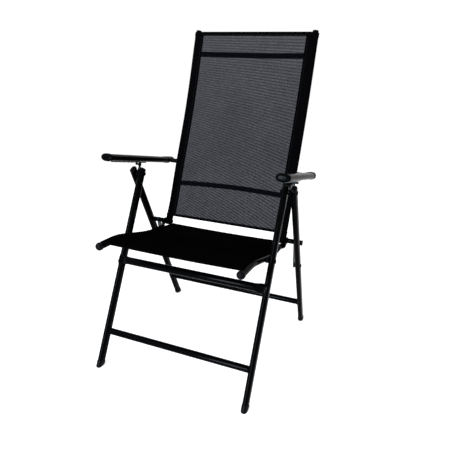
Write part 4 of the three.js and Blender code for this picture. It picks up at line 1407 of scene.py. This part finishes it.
def sleeve_station(along, half_wide, half_tall, lift=0.0):
    """Places an outline point across the tapering rear sleeve."""
    wide, tall = half_wide / (ARM_WIDE / 2), half_tall / (ARM_TALL / 2)
    return station(REAR_LEG_X, arm_point(along, -lift), ARM_UP, wide, tall)


arm_outline = full_ellipse(ARM_WIDE, ARM_TALL)


def make_armrest():
    front = -ARM_AHEAD + PLUG_RISE
    rear = ARM_BEHIND - ARM_REAR_LONG + ARM_INTO_SLEEVE
    stations = [arm_station(front, 1 - ARM_EDGE / (ARM_TALL / 2))]
    stations += [arm_station(along) for along in spaced(front + ARM_EDGE, rear, 24)]
    return sweep(arm_outline, stations)


def make_arm_rear_sleeve():
    """Full width where it takes the armrest in, then narrowing to a rounded tongue."""
    start = ARM_BEHIND - ARM_REAR_LONG
    rim = ARM_REAR_RIM
    narrow = ARM_REAR_NARROW_SHARE
    half_wide = ARM_WIDE / 2 + ARM_REAR_WALL
    half_tall = ARM_TALL / 2 + ARM_REAR_WALL
    stations = [sleeve_station(start, half_wide - rim, half_tall - rim)]
    stations.append(sleeve_station(start + rim, half_wide, half_tall))
    for t in spaced(0, 1, 10)[1:]:
        share = mix(1, narrow, eased(t))
        along = mix(start + 2 * rim, ARM_BEHIND - ARM_REAR_END_LONG, t)
        tall = half_tall * (1 + share) / 2
        stations.append(sleeve_station(along, half_wide * share, tall, ARM_REAR_LIFT * eased(t)))
    half_wide, half_tall = half_wide * narrow, half_tall * (1 + narrow) / 2
    for across, on in arc(0, 0, 1, 0, math.pi / 2, 10)[1:]:
        wide = mix(TONGUE_WIDE_SHARE, 1, across)
        tall = mix(TONGUE_TALL_SHARE, 1, max(across, 0) ** TONGUE_FULLNESS)
        along = ARM_BEHIND - ARM_REAR_END_LONG * (1 - on)
        stations.append(sleeve_station(along, half_wide * wide, half_tall * tall, ARM_REAR_LIFT))
    return sweep(arm_outline, stations)


def make_arm_plug():
    """The domed front plug: its lip stands a little over the armrest all round."""
    seat = -ARM_AHEAD + PLUG_RISE - CLEARANCE
    half = ARM_TALL / 2
    lip = 1 + PLUG_LIP / half
    tip = -ARM_AHEAD - PLUG_PROUD
    stations = [arm_station(tip, PLUG_TIP_SHARE)]
    for back, out in arc(0, 0, 1, 0, math.pi / 2, 12)[1:]:
        along = mix(seat - PLUG_LIP_LONG, tip, back)
        stations.append(arm_station(along, mix(PLUG_TIP_SHARE, lip, out ** PLUG_FULLNESS)))
    stations.append(arm_station(seat - PLUG_EDGE, lip))
    stations.append(arm_station(seat, lip - PLUG_TUCK / half))
    return sweep(arm_outline, stations)


def make_arm_rail():
    """The toothed rail: a strip with round notches cut up into its lower edge."""
    top = ARM_TALL / 2 + CLEARANCE
    low = top + RAIL_TALL
    bite = NOTCH_R - NOTCH_DEPTH
    right = math.pi / 2
    turn = math.acos(bite / NOTCH_R)
    start, end = -RAIL_FROM, -RAIL_FROM - RAIL_LONG
    points = [(start, top), (start, low)]
    for i in range(NOTCH_COUNT):
        middle = -PIN_FROM - i * NOTCH_PITCH
        points += arc(middle, low + bite, NOTCH_R, turn - right, -turn - right, 8)
    points += [(end, low), (end, top)]
    return plate([arm_point(along, down) for along, down in points], REAR_LEG_X, RAIL_THICK)


def make_arm_spacer():
    start = SEAT_TUBE_X + SLEEVE_R + CLEARANCE
    end = REAR_LEG_X - ARM_WIDE / 2 - ARM_REAR_WALL - CLEARANCE
    return tube_ring(SPACER_R, start, end, arm_pivot)


def make_arm_bolt():
    nut = SEAT_TUBE_X - SLEEVE_R - CLEARANCE
    head = REAR_LEG_X - ARM_WIDE / 2 + ARM_TALL / 2 - HEAD_THICK
    top = head + HEAD_THICK
    profile = nut_profile(nut) + shank(BOLT_R, nut, head) + shank(HEAD_R, head, top) + [(0, top)]
    return turned_across(profile, arm_pivot)


for name, make, finish, slot, node in (
    ("armrest_tube", make_armrest, armrest_finish, "moulding", "armrest"),
    ("armrest_rear_sleeve", make_arm_rear_sleeve, armrest_finish, "moulding", "armrest_rear_cap"),
    ("armrest_front_plug", make_arm_plug, plug_finish, "plastic", "armrest_plug"),
    ("armrest_toothed_rail", make_arm_rail, dark_zinc, "zinc", "armrest_rail"),
):
    add_sides(name, make, finish, "{side}_armrest", slot, node)
add_sides(
    "armrest_side_spacer", make_arm_spacer, plastic, "armrest_spacers", "plastic", "armrest_spacer",
    bevel=RING_BEVEL,
)
add_sides("armrest_cross_bolt", make_arm_bolt, zinc, "armrest_bolts", "zinc", "armrest_bolt")


# Camera, at the photograph's place
CAMERA_PLACE = Vector((0.5587, -1.3041 - MIDDLE_BEHIND_FEET, 0.8867))
CAMERA_TURN = math.radians(21.38)
CAMERA_RISE = math.radians(17.47)
CAMERA_ROLL = math.radians(2.53)
FOCAL_SHARE = 441.8 / 450
camera_data = bpy.data.cameras.new("camera")
camera_data.sensor_width = 36
camera_data.lens = camera_data.sensor_width * FOCAL_SHARE
camera = add_object("camera", camera_data)
level = Vector((math.cos(CAMERA_TURN), math.sin(CAMERA_TURN), 0))
away = Vector((math.sin(CAMERA_TURN), -math.cos(CAMERA_TURN), 0))
back = away * math.cos(CAMERA_RISE) + Vector((0, 0, math.sin(CAMERA_RISE)))
upright = back.cross(level)
right = level * math.cos(CAMERA_ROLL) + upright * math.sin(CAMERA_ROLL)
up = upright * math.cos(CAMERA_ROLL) - level * math.sin(CAMERA_ROLL)
camera_turn = Matrix((right, up, back)).transposed().to_4x4()
camera.matrix_world = Matrix.Translation(CAMERA_PLACE) @ camera_turn
bpy.context.scene.camera = camera

# Floor and world: both are seen white, and the floor keeps the object's soft shadow
FLOOR_GLOW = 0.57
AMBIENT = 0.55
floor_finish = Finish("Pale floor", (0.80, 0.80, 0.80), 0.9, Specular_IOR_Level=0.0)
floor_finish.shader.inputs["Emission Color"].default_value = (1, 1, 1, 1)
glow = floor_finish.math("MULTIPLY", floor_finish.seen_directly(), FLOOR_GLOW)
floor_finish.feed("Emission Strength", glow)
floor_bm = bmesh.new()
bmesh.ops.create_grid(floor_bm, x_segments=1, y_segments=1, size=30)
floor_mesh = bpy.data.meshes.new("floor")
floor_bm.to_mesh(floor_mesh)
floor_bm.free()
floor_mesh.materials.append(floor_finish.material)
floor = add_object("floor", floor_mesh)

world = bpy.data.worlds.new("studio")
bpy.context.scene.world = world
world.use_nodes = True
studio = Nodes(world.node_tree)
background = studio.nodes["Background"]
background.inputs["Color"].default_value = (1, 1, 1, 1)
strength = studio.spread(studio.seen_directly(), 0, 1, AMBIENT, 1)
studio.link(strength, background.inputs["Strength"])

# Lights: name, place, aim, size, power and colour
WHITE = (1, 1, 1)
COOL = (0.80, 0.88, 1.0)
for name, place, aim, size, power, color in (
    ("key_panel", (-1.9, -2.0, 2.6), (0, 0, 0.5), (1.8, 1.2), 20, WHITE),
    ("overhead_panel", (1.3, -0.5, 3.0), (0, 0, 0.5), (0.8, 0.8), 16, WHITE),
    ("front_strip", (-0.62, -2.9, 1.08), (0, -0.1, 0.6), (0.4, 1.7), 110, COOL),
    ("rear_panel", (0.4, 2.8, 2.3), (0, 0, 0.6), (2.0, 1.0), 20, WHITE),
):
    panel = bpy.data.lights.new(name, "AREA")
    panel.shape = "RECTANGLE"
    panel.size, panel.size_y = size
    panel.energy = power
    panel.color = color
    light = add_object(name, panel)
    light.location = place
    light.rotation_euler = (Vector(aim) - Vector(place)).to_track_quat("-Z", "Y").to_euler()

bpy.context.scene.view_settings.view_transform = "Standard"


bpy.context.view_layer.update()
